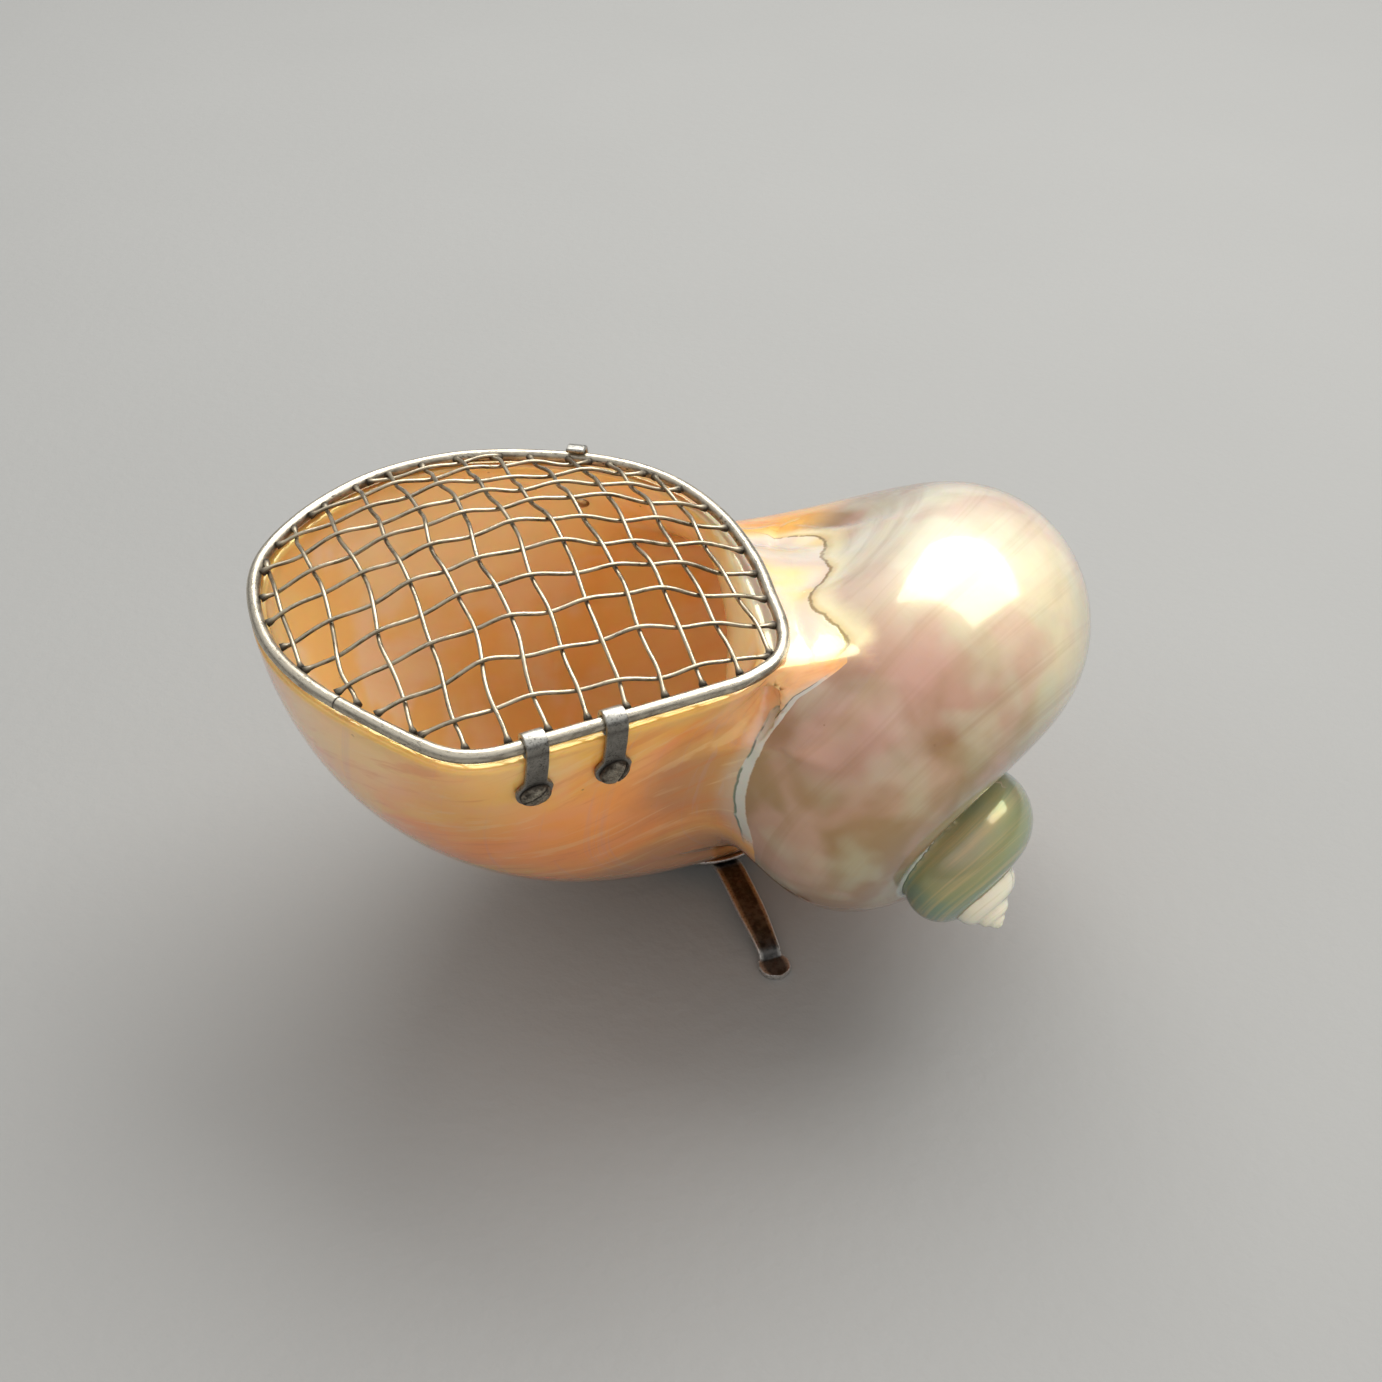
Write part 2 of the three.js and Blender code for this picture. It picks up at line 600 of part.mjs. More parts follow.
// Hinge straps: a leaf on the wall whose top rolls round the hoop
HINGE_PLACES.forEach((place, k) => {
  const name = `hinge_${['left', 'right'][k]}`;
  const origin = hingeStart.clone().addScaledVector(hingeAlong, place);
  const spot = wallSpot(origin.clone().addScaledVector(UP, -SCREW_DEPTH), hingeOut);
  const roll = arc(HOOP_RADIUS + GAP + STRAP_THICKNESS / 2, 0, ROLL_END, 13);
  const leaf = leafLine(origin, hingeOut, [SCREW_DEPTH + 1, SCREW_DEPTH, ...LEAF_DEPTHS]);
  const strip = placed(strap([...leaf, ...roll], STRAP_THICKNESS, STRAP_WIDTH), origin, hingeOut, UP);
  const whole = solidOf(strip).add(eye(spot, EYE_RADIUS, STRAP_THICKNESS));
  const drilled = drill(whole, spot, SHANK_RADIUS + HOLE_CLEARANCE, 2 * WALL);
  addPart(`${name}_strap`, geometryOf(drilled), strapMetal);
  addFastener(name, spot);
});

// Spring clip: a foot screwed to the wall, and above its bend a spring that hooks over the hoop
function addCatch() {
  const ahead = hoopLine.findIndex((point, k) => point.y > 0 && point.x < CATCH_PLACE && k > 0);
  const [a, b] = [hoopLine[ahead - 1], hoopLine[ahead]];
  const origin = a.clone().lerp(b, (CATCH_PLACE - a.x) / (b.x - a.x));
  const out = b.clone().sub(a).normalize().cross(UP);
  const spot = wallSpot(origin.clone().addScaledVector(UP, -SCREW_DEPTH), out);
  const half = GAP / 2;
  const [footTop, springLow] = leafLine(origin, out, [CATCH_BEND + half, CATCH_BEND - half]);
  const foot = leafLine(origin, out, [SCREW_DEPTH + 1, SCREW_DEPTH, CATCH_FOOT_BEND]);
  const footSolid = solidOf(placed(strap([...foot, footTop], STRAP_THICKNESS, CATCH_WIDTH), origin, out, UP))
    .add(eye(spot, EYE_RADIUS, STRAP_THICKNESS));
  const drilled = drill(footSolid, spot, SHANK_RADIUS + HOLE_CLEARANCE, 2 * WALL);
  addPart('catch_foot', geometryOf(drilled), strapMetal);
  addFastener('catch', spot);
  const rise = HOOP_RADIUS + GAP + CATCH_CLEARANCE + STRAP_THICKNESS / 2;
  const [upper] = leafLine(origin, out, [CATCH_UPPER]);
  const hook = [flat(rise, -0.6), ...arc(rise, 20, 80, 3), flat(-CATCH_NOSE, rise)];
  const clip = strap([springLow, upper, ...hook], STRAP_THICKNESS, CATCH_WIDTH);
  addPart('catch_clip', placed(clip, origin, out, UP), strapMetal);
}
addCatch();

// Mesh: crimped wires on the dome, each one over and under those it crosses
function domeHeight(x, y) {
  const share = Math.hypot(x, y) / hoopReach(Math.atan2(y, x));
  return DOME_HEIGHT * Math.max(1 - share ** 2, 0) ** DOME_POWER;
}

const warpAlong = vector(Math.cos(degrees(WARP_ANGLE)), Math.sin(degrees(WARP_ANGLE)));
const weftAlong = vector(Math.cos(degrees(WEFT_ANGLE)), Math.sin(degrees(WEFT_ANGLE)));
const warpFirst = hingeStart.clone().addScaledVector(hingeAlong, WARP_START);
const warpStep = hingeAlong.clone().multiplyScalar(WARP_PITCH);
const weftFirst = vector(-weftAlong.y, weftAlong.x).multiplyScalar(WEFT_START);
const weftStep = vector(-weftAlong.y, weftAlong.x).multiplyScalar(WEFT_PITCH);

// How far along a line through one point another line crosses it
function meeting(from, along, other, otherAlong) {
  const gap = other.clone().sub(from);
  return (gap.x * otherAlong.y - gap.y * otherAlong.x) / (along.x * otherAlong.y - along.y * otherAlong.x);
}

function meshWire(number, from, along, crossFirst, crossStep, crossAlong, sign) {
  const inside = (t) => {
    const { x, y } = from.clone().addScaledVector(along, t);
    return Math.hypot(x, y) < hoopReach(Math.atan2(y, x)) - HOOP_RADIUS - SOLDER_GAP;
  };
  const places = Array.from({ length: 401 }, (_, k) => ((k - 200) * MOUTH_LENGTH) / 200).filter(inside);
  if (places.length < 2 || places.at(-1) - places[0] < SHORTEST_WIRE) return null;
  const [start, end] = [places[0], places.at(-1)];
  const crossings = [];
  for (let k = -MOST_WIRES; k <= MOST_WIRES; k += 1) {
    const t = meeting(from, along, crossFirst.clone().addScaledVector(crossStep, k), crossAlong);
    if (t > start - MESH_WIRE && t < end + MESH_WIRE) {
      const over = sign * ((k + number) % 2 === 0 ? 1 : -1);
      crossings.push({ t: clamp(t, start + 0.1 * MESH_WIRE, end - 0.1 * MESH_WIRE), over });
    }
  }
  crossings.sort((a, b) => a.t - b.t);
  const stations = [{ t: start, over: 0 }];
  crossings.forEach(({ t, over }, k) => {
    if (k > 0) stations.push({ t: (t + crossings[k - 1].t) / 2, over: 0 });
    stations.push({ t, over });
  });
  stations.push({ t: end, over: 0 });
  const lift = (MESH_WIRE + WEAVE_GAP) / 2;
  const points = stations.map(({ t, over }) => {
    const { x, y } = from.clone().addScaledVector(along, t);
    return vector(x, y, domeHeight(x, y) + over * lift);
  });
  return wire(points, MESH_WIRE / 2, MESH_SIDES);
}

function addWires(name, firstPoint, step, along, crossFirst, crossStep, crossAlong, sign) {
  let count = 0;
  for (let k = -MOST_WIRES; k <= MOST_WIRES; k += 1) {
    const from = firstPoint.clone().addScaledVector(step, k);
    const geometry = meshWire(k, from, along, crossFirst, crossStep, crossAlong, sign);
    if (geometry) {
      count += 1;
      addPart(`${name}_${String(count).padStart(2, '0')}`, geometry, meshMetal);
    }
  }
}

addPart('hoop', wire(hoopLine, HOOP_RADIUS, HOOP_SIDES, true), hoopMetal);
addWires('warp', warpFirst, warpStep, warpAlong, weftFirst, weftStep, weftAlong, 1);
addWires('weft', weftFirst, weftStep, weftAlong, warpFirst, warpStep, warpAlong, -1);

// Stand: a dished plate bolted under the shell and three straps riveted to it
function addStand() {
  const [x, y] = PLATE_PLACE.map(ofMouth);
  const hollow = ofMouth(PLATE_DISH);
  const dish = (r) => hollow - Math.sqrt(hollow ** 2 - r ** 2);
  const rings = [BOLT_SHANK + HOLE_CLEARANCE, 5, 9, PLATE_RADIUS];
  const seatings = rings.flatMap((r) => arc(r, 0, 330, 11).map((place) => {
    const below = vector(x + place.x, y + place.y, -1.2 * MOUTH_LENGTH);
    return spotOnRay(below, UP, 0.6 * MOUTH_LENGTH).point.z - dish(r);
  }));
  const top = Math.min(...seatings) - GAP;
  const floor = lowest - GROUND_CLEARANCE;
  const middle = vector(x, y, top);
  const profile = [
    ...rings.map((r) => flat(r, dish(r))),
    ...rings.map((r) => flat(r, dish(r) - PLATE_THICKNESS)).reverse(),
  ];
  const lathe = mergeVertices(bare(new THREE.LatheGeometry([...profile, profile[0]], 32)));
  let plate = solidOf(facingOut(lathe.rotateX(Math.PI / 2).translate(...middle.toArray())));

  const spot = { point: middle.clone().addScaledVector(UP, GAP), normal: UP.clone().negate() };
  const seat = 2 * GAP + PLATE_THICKNESS;
  shell = drill(shell, spot, BOLT_SHANK + HOLE_CLEARANCE, 3 * WALL);
  const nutSeat = nutSeatAt(spot);
  const length = seat - nutSeat + SHANK_PAST_NUT;
  addPart('stand_bolt', screw(spot, seat, BOLT_HEAD, BOLT_SHANK, length), strapMetal);
  const bore = BOLT_SHANK + THREAD_CLEARANCE;
  addPart('stand_nut', nut(spot, nutSeat, BOLT_NUT, NUT_HEIGHT, bore), strapMetal);

  LEG_BEARINGS.forEach((bearing, k) => {
    const out = vector(Math.cos(degrees(bearing)), Math.sin(degrees(bearing)));
    const reach = LEG_REACHES[k];
    const under = (r) => flat(r, dish(r) - PLATE_THICKNESS - GAP - LEG_THICKNESS / 2);
    const toeLevel = floor - top + LEG_THICKNESS / 2;
    const line = [
      under(LEG_INNER), under(9), under(13), under(PLATE_RADIUS + LEG_PAST_PLATE),
      flat(reach - FOOT_RUN, toeLevel + FOOT_RISE), flat(reach - 2, toeLevel), flat(reach, toeLevel),
    ];
    const strip = placed(strap(line, LEG_THICKNESS, LEG_WIDTH), middle, out, UP);
    const toeLow = middle.clone().addScaledVector(out, reach).setZ(floor);
    const toe = bar(toeLow, toeLow.clone().addScaledVector(UP, LEG_THICKNESS), TOE_RADIUS, 16);
    const rivetTop = middle.clone().addScaledVector(out, RIVET_PLACE)
      .addScaledVector(UP, dish(RIVET_PLACE - RIVET_RADIUS) - 0.05);
    const rivetLow = rivetTop.clone().addScaledVector(UP, -(PLATE_THICKNESS + 2 * GAP + LEG_THICKNESS));
    const hole = solidOf(bar(
      rivetTop.clone().addScaledVector(UP, 2), rivetLow.clone().addScaledVector(UP, -2),
      RIVET_RADIUS + HOLE_CLEARANCE, 10,
    ));
    plate = plate.subtract(hole);
    const leg = solidOf(strip).add(solidOf(toe)).subtract(hole);
    addPart(`leg_${LEG_NAMES[k]}`, geometryOf(leg), legMetal);
    const head = bar(rivetLow, rivetLow.clone().addScaledVector(UP, -RIVET_HEAD_HEIGHT), RIVET_HEAD, 10);
    const rivet = solidOf(bar(rivetTop, rivetLow, RIVET_RADIUS, 10)).add(solidOf(head));
    addPart(`leg_${LEG_NAMES[k]}_rivet`, geometryOf(rivet), legMetal);
  });
  addPart('stand_plate', geometryOf(plate), legMetal);
  return floor;
}

const lowest = shell.boundingBox().min[2];
const floor = addStand();
const withoutCracks = largest(solidOf(geometryOf(shell), 1e-3));
addPart('shell', geometryOf(withoutCracks), nacre);

// Set the box down: the floor at zero, and the middle of the whole box over the origin
const bounds = new THREE.Box3().setFromObject(box);
const middleOfAll = bounds.getCenter(vector());
box.position.set(-middleOfAll.x, -middleOfAll.y, -floor);
box.updateMatrixWorld(true);

export default box;
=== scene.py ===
import json

import bpy
import numpy as np
from bpy.props import FloatProperty, FloatVectorProperty, IntProperty, PointerProperty
from mathutils import Matrix, Vector


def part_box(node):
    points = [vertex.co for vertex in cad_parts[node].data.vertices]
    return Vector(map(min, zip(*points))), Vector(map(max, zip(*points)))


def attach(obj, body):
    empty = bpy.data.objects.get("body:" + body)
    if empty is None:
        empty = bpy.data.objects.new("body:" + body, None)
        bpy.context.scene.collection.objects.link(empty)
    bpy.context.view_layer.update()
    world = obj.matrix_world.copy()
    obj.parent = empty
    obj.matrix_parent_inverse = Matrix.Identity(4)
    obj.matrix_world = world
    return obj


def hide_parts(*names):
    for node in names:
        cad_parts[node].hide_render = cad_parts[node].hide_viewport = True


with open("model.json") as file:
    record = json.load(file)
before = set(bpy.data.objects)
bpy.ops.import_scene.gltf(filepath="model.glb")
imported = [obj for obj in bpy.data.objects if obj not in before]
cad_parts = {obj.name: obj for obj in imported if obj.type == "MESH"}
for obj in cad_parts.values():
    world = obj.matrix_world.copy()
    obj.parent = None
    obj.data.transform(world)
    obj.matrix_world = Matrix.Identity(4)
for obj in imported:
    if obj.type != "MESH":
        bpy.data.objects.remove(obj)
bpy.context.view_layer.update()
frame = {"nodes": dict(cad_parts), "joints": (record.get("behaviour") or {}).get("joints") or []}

bl_info = {
    "name": "Shell Trinket Box",
    "version": (1, 0, 0),
    "blender": (4, 5, 0),
    "location": "3D View > Sidebar > Shell Box",
    "description": "A polished turban shell on a strap-legged stand, with a domed woven wire lid",
    "category": "Add Mesh",
}

MM = 0.001

# Sizes below are millimetres in the mouth's frame: its origin is the middle of the mouth, on the
# hoop's plane, +X towards the spire and -Y the hinge side. A share is in hundredths of the mouth.
MOUTH_LENGTH = 82.4
HOOP_WIRE = 2.1


def of_mouth(hundredths):
    """Hundredths of the mouth's length in millimetres."""
    return np.asarray(hundredths, float) * MOUTH_LENGTH / 100


HINGE_START = of_mouth((1.8, -47.7))
HINGE_END = of_mouth((41.9, -28.8))
OUTLINE = of_mouth((
    (46.4, -25), (48.9, -21.6), (50.2, -17), (50.1, -10.3), (48.5, -2.4), (45.9, 9.7), (39.4, 26),
    (29.4, 39.1), (17.4, 46.2), (-1.2, 49.4), (-17.1, 48.1), (-32.2, 40.5), (-42.8, 28.2),
    (-49.4, 13), (-49.8, 1.9), (-44.7, -15.2), (-35.8, -27.8), (-21.6, -39.7), (-9.6, -47.8),
    (-5.6, -49), (-1.2, -48.7),
))

AXIS_BEARING = 39.7
AXIS_DIP = 33.1
APEX = of_mouth((95, -27.2, -62.9))
MOUTH_BEARING = 26
WHORL_SIZE = of_mouth(115.5)
GROWTH = 2.82
SECTION_REACH = 0.473
SECTION_DROP = 0.989
SECTION_WIDE = 0.468
SECTION_LONG = 0.511
SECTION_TILT = -33.2
FLARE_START = -378
FLARE = 1.118
FLARE_DROP = 0.896
FLARE_GIRTH = 0.838
FLARE_MOST = 1.6
SPIRE_START = -1440
PILLAR_END = -330
MOUTH_END = 52
HOLLOW_START = -620
COLUMELLA = 0.08
PILLAR = 0.04
WHORLS = 7
HOLLOWS = 3
TIP_START = -690
TIP_GROWTH = 2.0
TIP_GIRTH = 0.95
TIP_GIRTH_FROM = (850, 950)
MOST_WALL_SHARE = 0.45
SEAM_FILLET_SHARE = 0.05
CALLUS_FILLET = 4.0
# Fillet between the mouth whorl and the ball in front, at each height
NOTCH_FILLET = ((-72, 0.0), (-61, 8.0), (-49, 17.0), (-30, 19.0), (-15, 19.0), (-8, 10.0), (-1, 0.0))
NOTCH_BACK = (0, 10)
CALLUS_FADE = 0.25
CALLUS_FADE_FROM = -15
BESIDE_CALLUS = (41, 47)
LIP_PAST_HOOP = 0.05
LIP_GAP_HINGE = 1.65
LIP_GAP_CATCH = 0.35
LIP_SLOPE_RUN = of_mouth(98)
TRIM_DEPTH = 32
TRIM_NEAR = 1.05
TRIM_FAR = 1.6
CALLUS = of_mouth((
    (-25.5, -15, -16, -14, 5), (-21.5, -5, -7.5, -6, 7), (-17, -3, -3.6, -3.1, 15),
    (-7, -3, -5.4, -0.6, 27), (5, -3.2, -8, 1.8, 29), (17, -4.2, -11, 1.2, 29),
    (29, -7, -15.5, -6, 17), (41, -13, -20, -15.6, 10), (49, -18, -22, -19.5, 6),
))
CALLUS_SIDE = of_mouth(1.2)
# Edge of the callus on the whorl before it, seen from above: how far along X it is at each Y
CALLUS_EDGE = (
    (-16, 48.4), (-14.6, 49.5), (-12.9, 51.0), (-12.0, 51.3), (-8.8, 50.0), (-5.0, 48.2), (-0.6, 46.3),
    (3.4, 46.5), (6.8, 47.9), (12.4, 50.2), (20.4, 49.2), (29.4, 50.5), (33.3, 48.6), (36.9, 43.2),
    (41.5, 35.5),
)

# How far along X the seam beside the mouth is, in front, at each height, and its width there
SEAM_LINE = (
    (-56, 38.5), (-50, 38.2), (-42, 38.0), (-34, 37.2), (-30, 36.2), (-25, 35.9), (-20, 36.7), (-14, 38.7),
    (-10, 41.4), (-7, 43.7), (-2, 51.0),
)
SEAM_WIDTH = ((-56, 0.7), (-50, 1.2), (-30, 1.7), (-20, 1.6), (-12, 1.1), (-6, 0.8), (-2, 0.5))
# How far the mouth whorl's clouds of colour rise towards the spire, in radians
SWEEP_SLANT = 0.34
# The net's fine cells, how far round the apex and how near the lip they lie, and the room left round it
FINE_NET = 0.4
TIP_ZONE = ((9, 4), (4, 9), (4, 7))
LIP_ZONE = (-4.2, -1.2)
NET_MARGIN = 2.5
# Where along the coil, in turns, one colour gives way to the next
COLOUR_CHANGES = (-0.5, -1.4, -2.4)

WARP_PITCH = 6.07
WARP_START = 0.9
WARP_ANGLE = 109.8
WEFT_PITCH = 6.9
WEFT_ANGLE = 20.6
WEFT_START = -2.5
DOME_HEIGHT = 9.3
DOME_POWER = 1.2
WEAVE_GAP = 0.12
SOLDER_GAP = 0.15
SHORTEST_WIRE = 9
MOST_WIRES = 12
GRAIN_STRETCH = 0.35
HOOP_JOINT = (-23.4, -28.2)
HOOP_SIDES = 24
WIRE_SIDES = 10

GAP = 0.3
SEAT_GAP = 0.35
FACET_RISE = of_mouth(0.79)
# Each hinge's place along the straight side, its screw's slot (width, depth and place), and its turn
HINGES = (("left", 4.3, (0.45, 0.4, 0.5), 1.0), ("right", 16.5, (0.7, 1.1, -1.0), 1.6))
CATCH_SLOT = ((0.55, 0.5, 0.0), 0.9)
BOLT_SLOT = ((0.7, 0.6, 0.0), 0.4)
ROLL_GAP = 0.12
HEAD_SUNK = 0.1
SCREW_DEPTH = 9.4
EYE_RADIUS = 2.85
ROLL_END = 285
LEAF_DEPTHS = (7, 5, 3.2)
PROBE_BACK = 4
PROBE_REACH = 14
HEAD_HEIGHT = 1.3
SHANK_RADIUS = 0.9
NUT_HEIGHT = 1.4
SHANK_PAST_NUT = 1
PEENED_RADIUS = 1.35
PEENED_HEIGHT = 0.55
PEENED_SUNK = 0.2
CATCH_PLACE = 7.8
CATCH_WIDTH = 3.1
CATCH_NOSE = 1.1
CATCH_BEND = 5.6
CATCH_FOOT_BEND = 7.5
CATCH_UPPER = 3
CATCH_CLEARANCE = 0.2

PLATE_PLACE = of_mouth((35.8, 37))
PLATE_DISH = of_mouth(85)
PLATE_RADIUS = 14
PLATE_THICKNESS = 0.9
BOLT_SHANK = 1.4
BOLT_HEAD = 3
BOLT_HOLE = BOLT_SHANK + 0.25
PLATE_EDGE = 0.45
LEG_THICKNESS = 1
LEG_BEARINGS = {"front": -70, "back": 48.6, "side": 168.6}
LEG_REACHES = {"front": 38.2, "back": 31, "side": 31}
LEG_INNER = 5.2
LEG_PAST_PLATE = 2
FOOT_RUN = 3.6
FOOT_RISE = 1.5
TOE_RADIUS = 2.8
RIVET_PLACE = 9.8
RIVET_RADIUS = 0.8
RIVET_HEAD = 1.36
RIVET_HEAD_HEIGHT = 0.6

# Lamps and camera, in metres and degrees. A lamp's width, height, bearing, elevation,
# distance from its aim and colour, and whether reflections show it
WINDOW_LAMP = (1.35, 0.7, 148, 58, 0.95, (1.0, 0.99, 0.96), True)
FILL_LAMP = (1.2, 0.9, 18, 14, 1.1, (1.0, 0.97, 0.93), False)
LAMP_AIM = (0, 0, 0.05)
SKY = ((0.02, (0.22, 0.225, 0.235)), (0.7, (0.97, 0.99, 1.0)))
FLOOR_CELLS = 8
CAMERA_PLACE = (0.0013475, -0.25783, 0.25092)
CAMERA_AIM = (0.00135, -0.00566, 0.05392)
SENSOR_WIDTH = 36

UP = np.array((0.0, 0.0, 1.0))
FAR = 1e3

# The scene's origin seen from the mouth's frame, from the lid hinge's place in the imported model
LID_HINGE = next(joint for joint in frame["joints"] if joint["name"] == "lid_hinge")
MOUTH_PLACE = np.array(LID_HINGE["pos_m"]) - np.array((*HINGE_START, 0)) * MM


def to_scene(points):
    """Points of the mouth's frame in the scene, in metres."""
    return np.asarray(points, float) * MM + MOUTH_PLACE


def unit(vectors):
    vectors = np.asarray(vectors, float)
    return vectors / np.linalg.norm(vectors, axis=-1, keepdims=True)


def smoothstep(values, low, high):
    share = np.clip((values - low) / (high - low), 0, 1)
    return share * share * (3 - 2 * share)


def direction(degrees):
    """Level direction at a bearing counted from +X."""
    return np.array((np.cos(np.radians(degrees)), np.sin(np.radians(degrees)), 0.0))


# ---------------------------------------------------------------- lines and outlines


def centripetal(points, steps):
    """Points along a centripetal Catmull-Rom line, evenly spaced, ends included."""
    points = np.asarray(points, float)
    padded = np.vstack((2 * points[0] - points[1], points, 2 * points[-1] - points[-2]))
    dense = []
    for before, start, end, after in zip(padded, padded[1:], padded[2:], padded[3:]):
        knots = (before, start, end, after)
        d0, d1, d2 = (np.sqrt(np.linalg.norm(b - a)) for a, b in zip(knots, knots[1:]))
        out = ((start - before) / d0 - (end - before) / (d0 + d1) + (end - start) / d1) * d1
        into = ((end - start) / d1 - (after - start) / (d1 + d2) + (after - end) / d2) * d1
        t = np.linspace(0, 1, 48, endpoint=False)[:, None]
        dense.append(
            start + out * t + (-3 * start + 3 * end - 2 * out - into) * t**2
            + (2 * start - 2 * end + out + into) * t**3
        )
    dense = np.vstack((*dense, points[-1:]))
    return evenly(dense, steps)


def lengths_along(points):
    """How far along a line each of its points is."""
    return np.concatenate(((0,), np.cumsum(np.linalg.norm(np.diff(points, axis=0), axis=1))))


def evenly(points, steps):
    """The same line with its points the same distance apart."""
    lengths = lengths_along(points)
    places = np.linspace(0, lengths[-1], steps + 1)
    return np.stack([np.interp(places, lengths, column) for column in points.T], 1)


def blurred(values, sigma):
    """Values on a closed loop, softened over a number of steps."""
    reach = int(np.ceil(4 * sigma))
    weights = np.exp(-0.5 * (np.arange(-reach, reach + 1) / sigma) ** 2)
    weights /= weights.sum()
    return sum(w * np.roll(values, -k, axis=0) for k, w in zip(range(-reach, reach + 1), weights))


def hoop_outline():
    """The hoop's centreline seen from above, closed, with its corners bent round."""
    rest = centripetal(np.vstack((HINGE_END, OUTLINE, HINGE_START)), 420)
    straight = evenly(np.vstack((HINGE_START, HINGE_END)), 90)[1:-1]
    loop = evenly(np.vstack((rest, straight, rest[:1])), 720)[:-1]
    return blurred(loop, 2.6)


HOOP_LOOP = hoop_outline()
HOOP_CORNERS = centripetal(np.vstack((HINGE_END, OUTLINE, HINGE_START)), 64)
HINGE_ALONG = np.append(unit(HINGE_END - HINGE_START), 0)
HINGE_OUT = np.cross(HINGE_ALONG, UP)


def reach_table(loop):
    """How far out a loop is at each of many bearings from the mouth's middle."""
    bearings = np.arctan2(loop[:, 1], loop[:, 0])
    order = np.argsort(bearings)
    return bearings[order], np.hypot(*loop[order].T)


HOOP_REACH = reach_table(HOOP_LOOP)
CORNER_REACH = reach_table(evenly(np.vstack((HOOP_CORNERS, HOOP_CORNERS[:1])), 4000)[:-1])


def hoop_reach(bearings, table=HOOP_REACH):
    """How far out the hoop is at some bearings."""
    return np.interp(bearings, *table, period=2 * np.pi)


# ---------------------------------------------------------------- the shell's coil

AXIS = np.array((
    np.cos(np.radians(AXIS_DIP)) * np.sin(np.radians(AXIS_BEARING)),
    -np.cos(np.radians(AXIS_DIP)) * np.cos(np.radians(AXIS_BEARING)),
    -np.sin(np.radians(AXIS_DIP)),
))


def coil_frame():
    """Two directions square to the axis, which the whorls' angles are counted from."""
    towards = unit(-APEX + AXIS * (APEX @ AXIS))
    turn = np.radians(-MOUTH_BEARING)
    first = towards * np.cos(turn) + np.cross(AXIS, towards) * np.sin(turn)
    return first, np.cross(first, AXIS)


FIRST, SECOND = coil_frame()
TILT_COS = np.cos(np.radians(SECTION_TILT))
TILT_SIN = np.sin(np.radians(SECTION_TILT))


def section(theta):
    """Size, reach, drop and half widths of the whorl's ellipse at an angle."""
    size = WHORL_SIZE * GROWTH ** (np.maximum(theta, TIP_START) / 360)
    size = size * TIP_GROWTH ** (np.minimum(theta - TIP_START, 0) / 360)
    girth = 1 - (1 - TIP_GIRTH) * smoothstep(-theta, *TIP_GIRTH_FROM)
    late = np.clip((theta - FLARE_START) / -FLARE_START, 0, FLARE_MOST) ** 2

    def spread(limit):
        return 1 + (limit - 1) * late

    return (
        size, size * SECTION_REACH * spread(FLARE), size * SECTION_DROP * spread(FLARE * FLARE_DROP),
        size * girth * SECTION_WIDE * spread(FLARE * FLARE_GIRTH),
        size * girth * SECTION_LONG * spread(FLARE * FLARE_GIRTH),
    )


def coil_place(points):
    """Angle about the axis, distance from it and drop down it."""
    offset = points - APEX
    aside, beside = offset @ FIRST, offset @ SECOND
    return np.degrees(np.arctan2(beside, aside)), np.hypot(aside, beside), -(offset @ AXIS)


def tube(place, turn, wall=0.0):
    """Signed distance to one whorl, and where round its ellipse a point is."""
    angle, radius, drop = place
    _, reach, depth, wide, long = section(angle + 360 * turn)
    wide, long = wide - wall, long - wall
    out, down = radius - reach, drop - depth
    across = (out * TILT_COS + down * TILT_SIN) / wide
    along = (down * TILT_COS - out * TILT_SIN) / long
    return (np.hypot(across, along) - 1) * np.minimum(wide, long), across, along


def past(place, turn, limit):
    """Distance beyond the section at an angle, along the coil."""
    angle, radius, _ = place
    return radius * np.sin(np.radians(np.clip(angle + 360 * turn - limit, -90, 90)))


def trim_table():
    """Share by which the natural wall misses the hoop's outline, at each of 720 bearings."""
    bearings = np.linspace(-np.pi, np.pi, 720, endpoint=False)
    wanted = hoop_reach(bearings, CORNER_REACH) + HOOP_WIRE / 2 + LIP_PAST_HOOP
    rays = np.stack((np.cos(bearings), np.sin(bearings), np.zeros_like(bearings)), 1)
    low, high = 0.4 * wanted, 1.6 * wanted
    for _ in range(40):
        middle = (low + high) / 2
        outside = tube(coil_place(rays * middle[:, None]), 0)[0] > 0
        low, high = np.where(outside, low, middle), np.where(outside, middle, high)
    return bearings, blurred(1 - low / wanted, 5)


TRIM = trim_table()


def untrimmed(points):
    """Where points were before the lip was bent to the hoop's outline."""
    bearings = np.arctan2(points[:, 1], points[:, 0])
    reach = np.hypot(points[:, 0], points[:, 1])
    depth = smoothstep(points[:, 2], -TRIM_DEPTH, 0)
    aside = 1 - smoothstep(reach / hoop_reach(bearings), TRIM_NEAR, TRIM_FAR)
    share = np.interp(bearings, *TRIM, period=2 * np.pi) * depth * aside
    return points * np.stack((1 - share, 1 - share, np.ones_like(share)), 1)


def wall_distance(points, wall=0.0):
    """Distance to the mouth whorl's outer side, or to its inner one if a wall is given."""
    return tube(coil_place(untrimmed(points)), 0, wall)[0]


def above_lip(points):
    """Height above the lip, whose gap to the hoop narrows from the hinges to the catch."""
    from_hinge = -(points[:, :2] - HINGE_START) @ HINGE_OUT[:2]
    slope = (LIP_GAP_HINGE - LIP_GAP_CATCH) / LIP_SLOPE_RUN
    return points[:, 2] - slope * from_hinge + HOOP_WIRE / 2 + LIP_GAP_HINGE


def joined(one, other, fillet):
    """Union of two distances, with the crease between them filled a little."""
    near = np.maximum(fillet - np.abs(one - other), 0) / np.maximum(fillet, 1e-9)
    return np.minimum(one, other) - near * near * fillet / 4


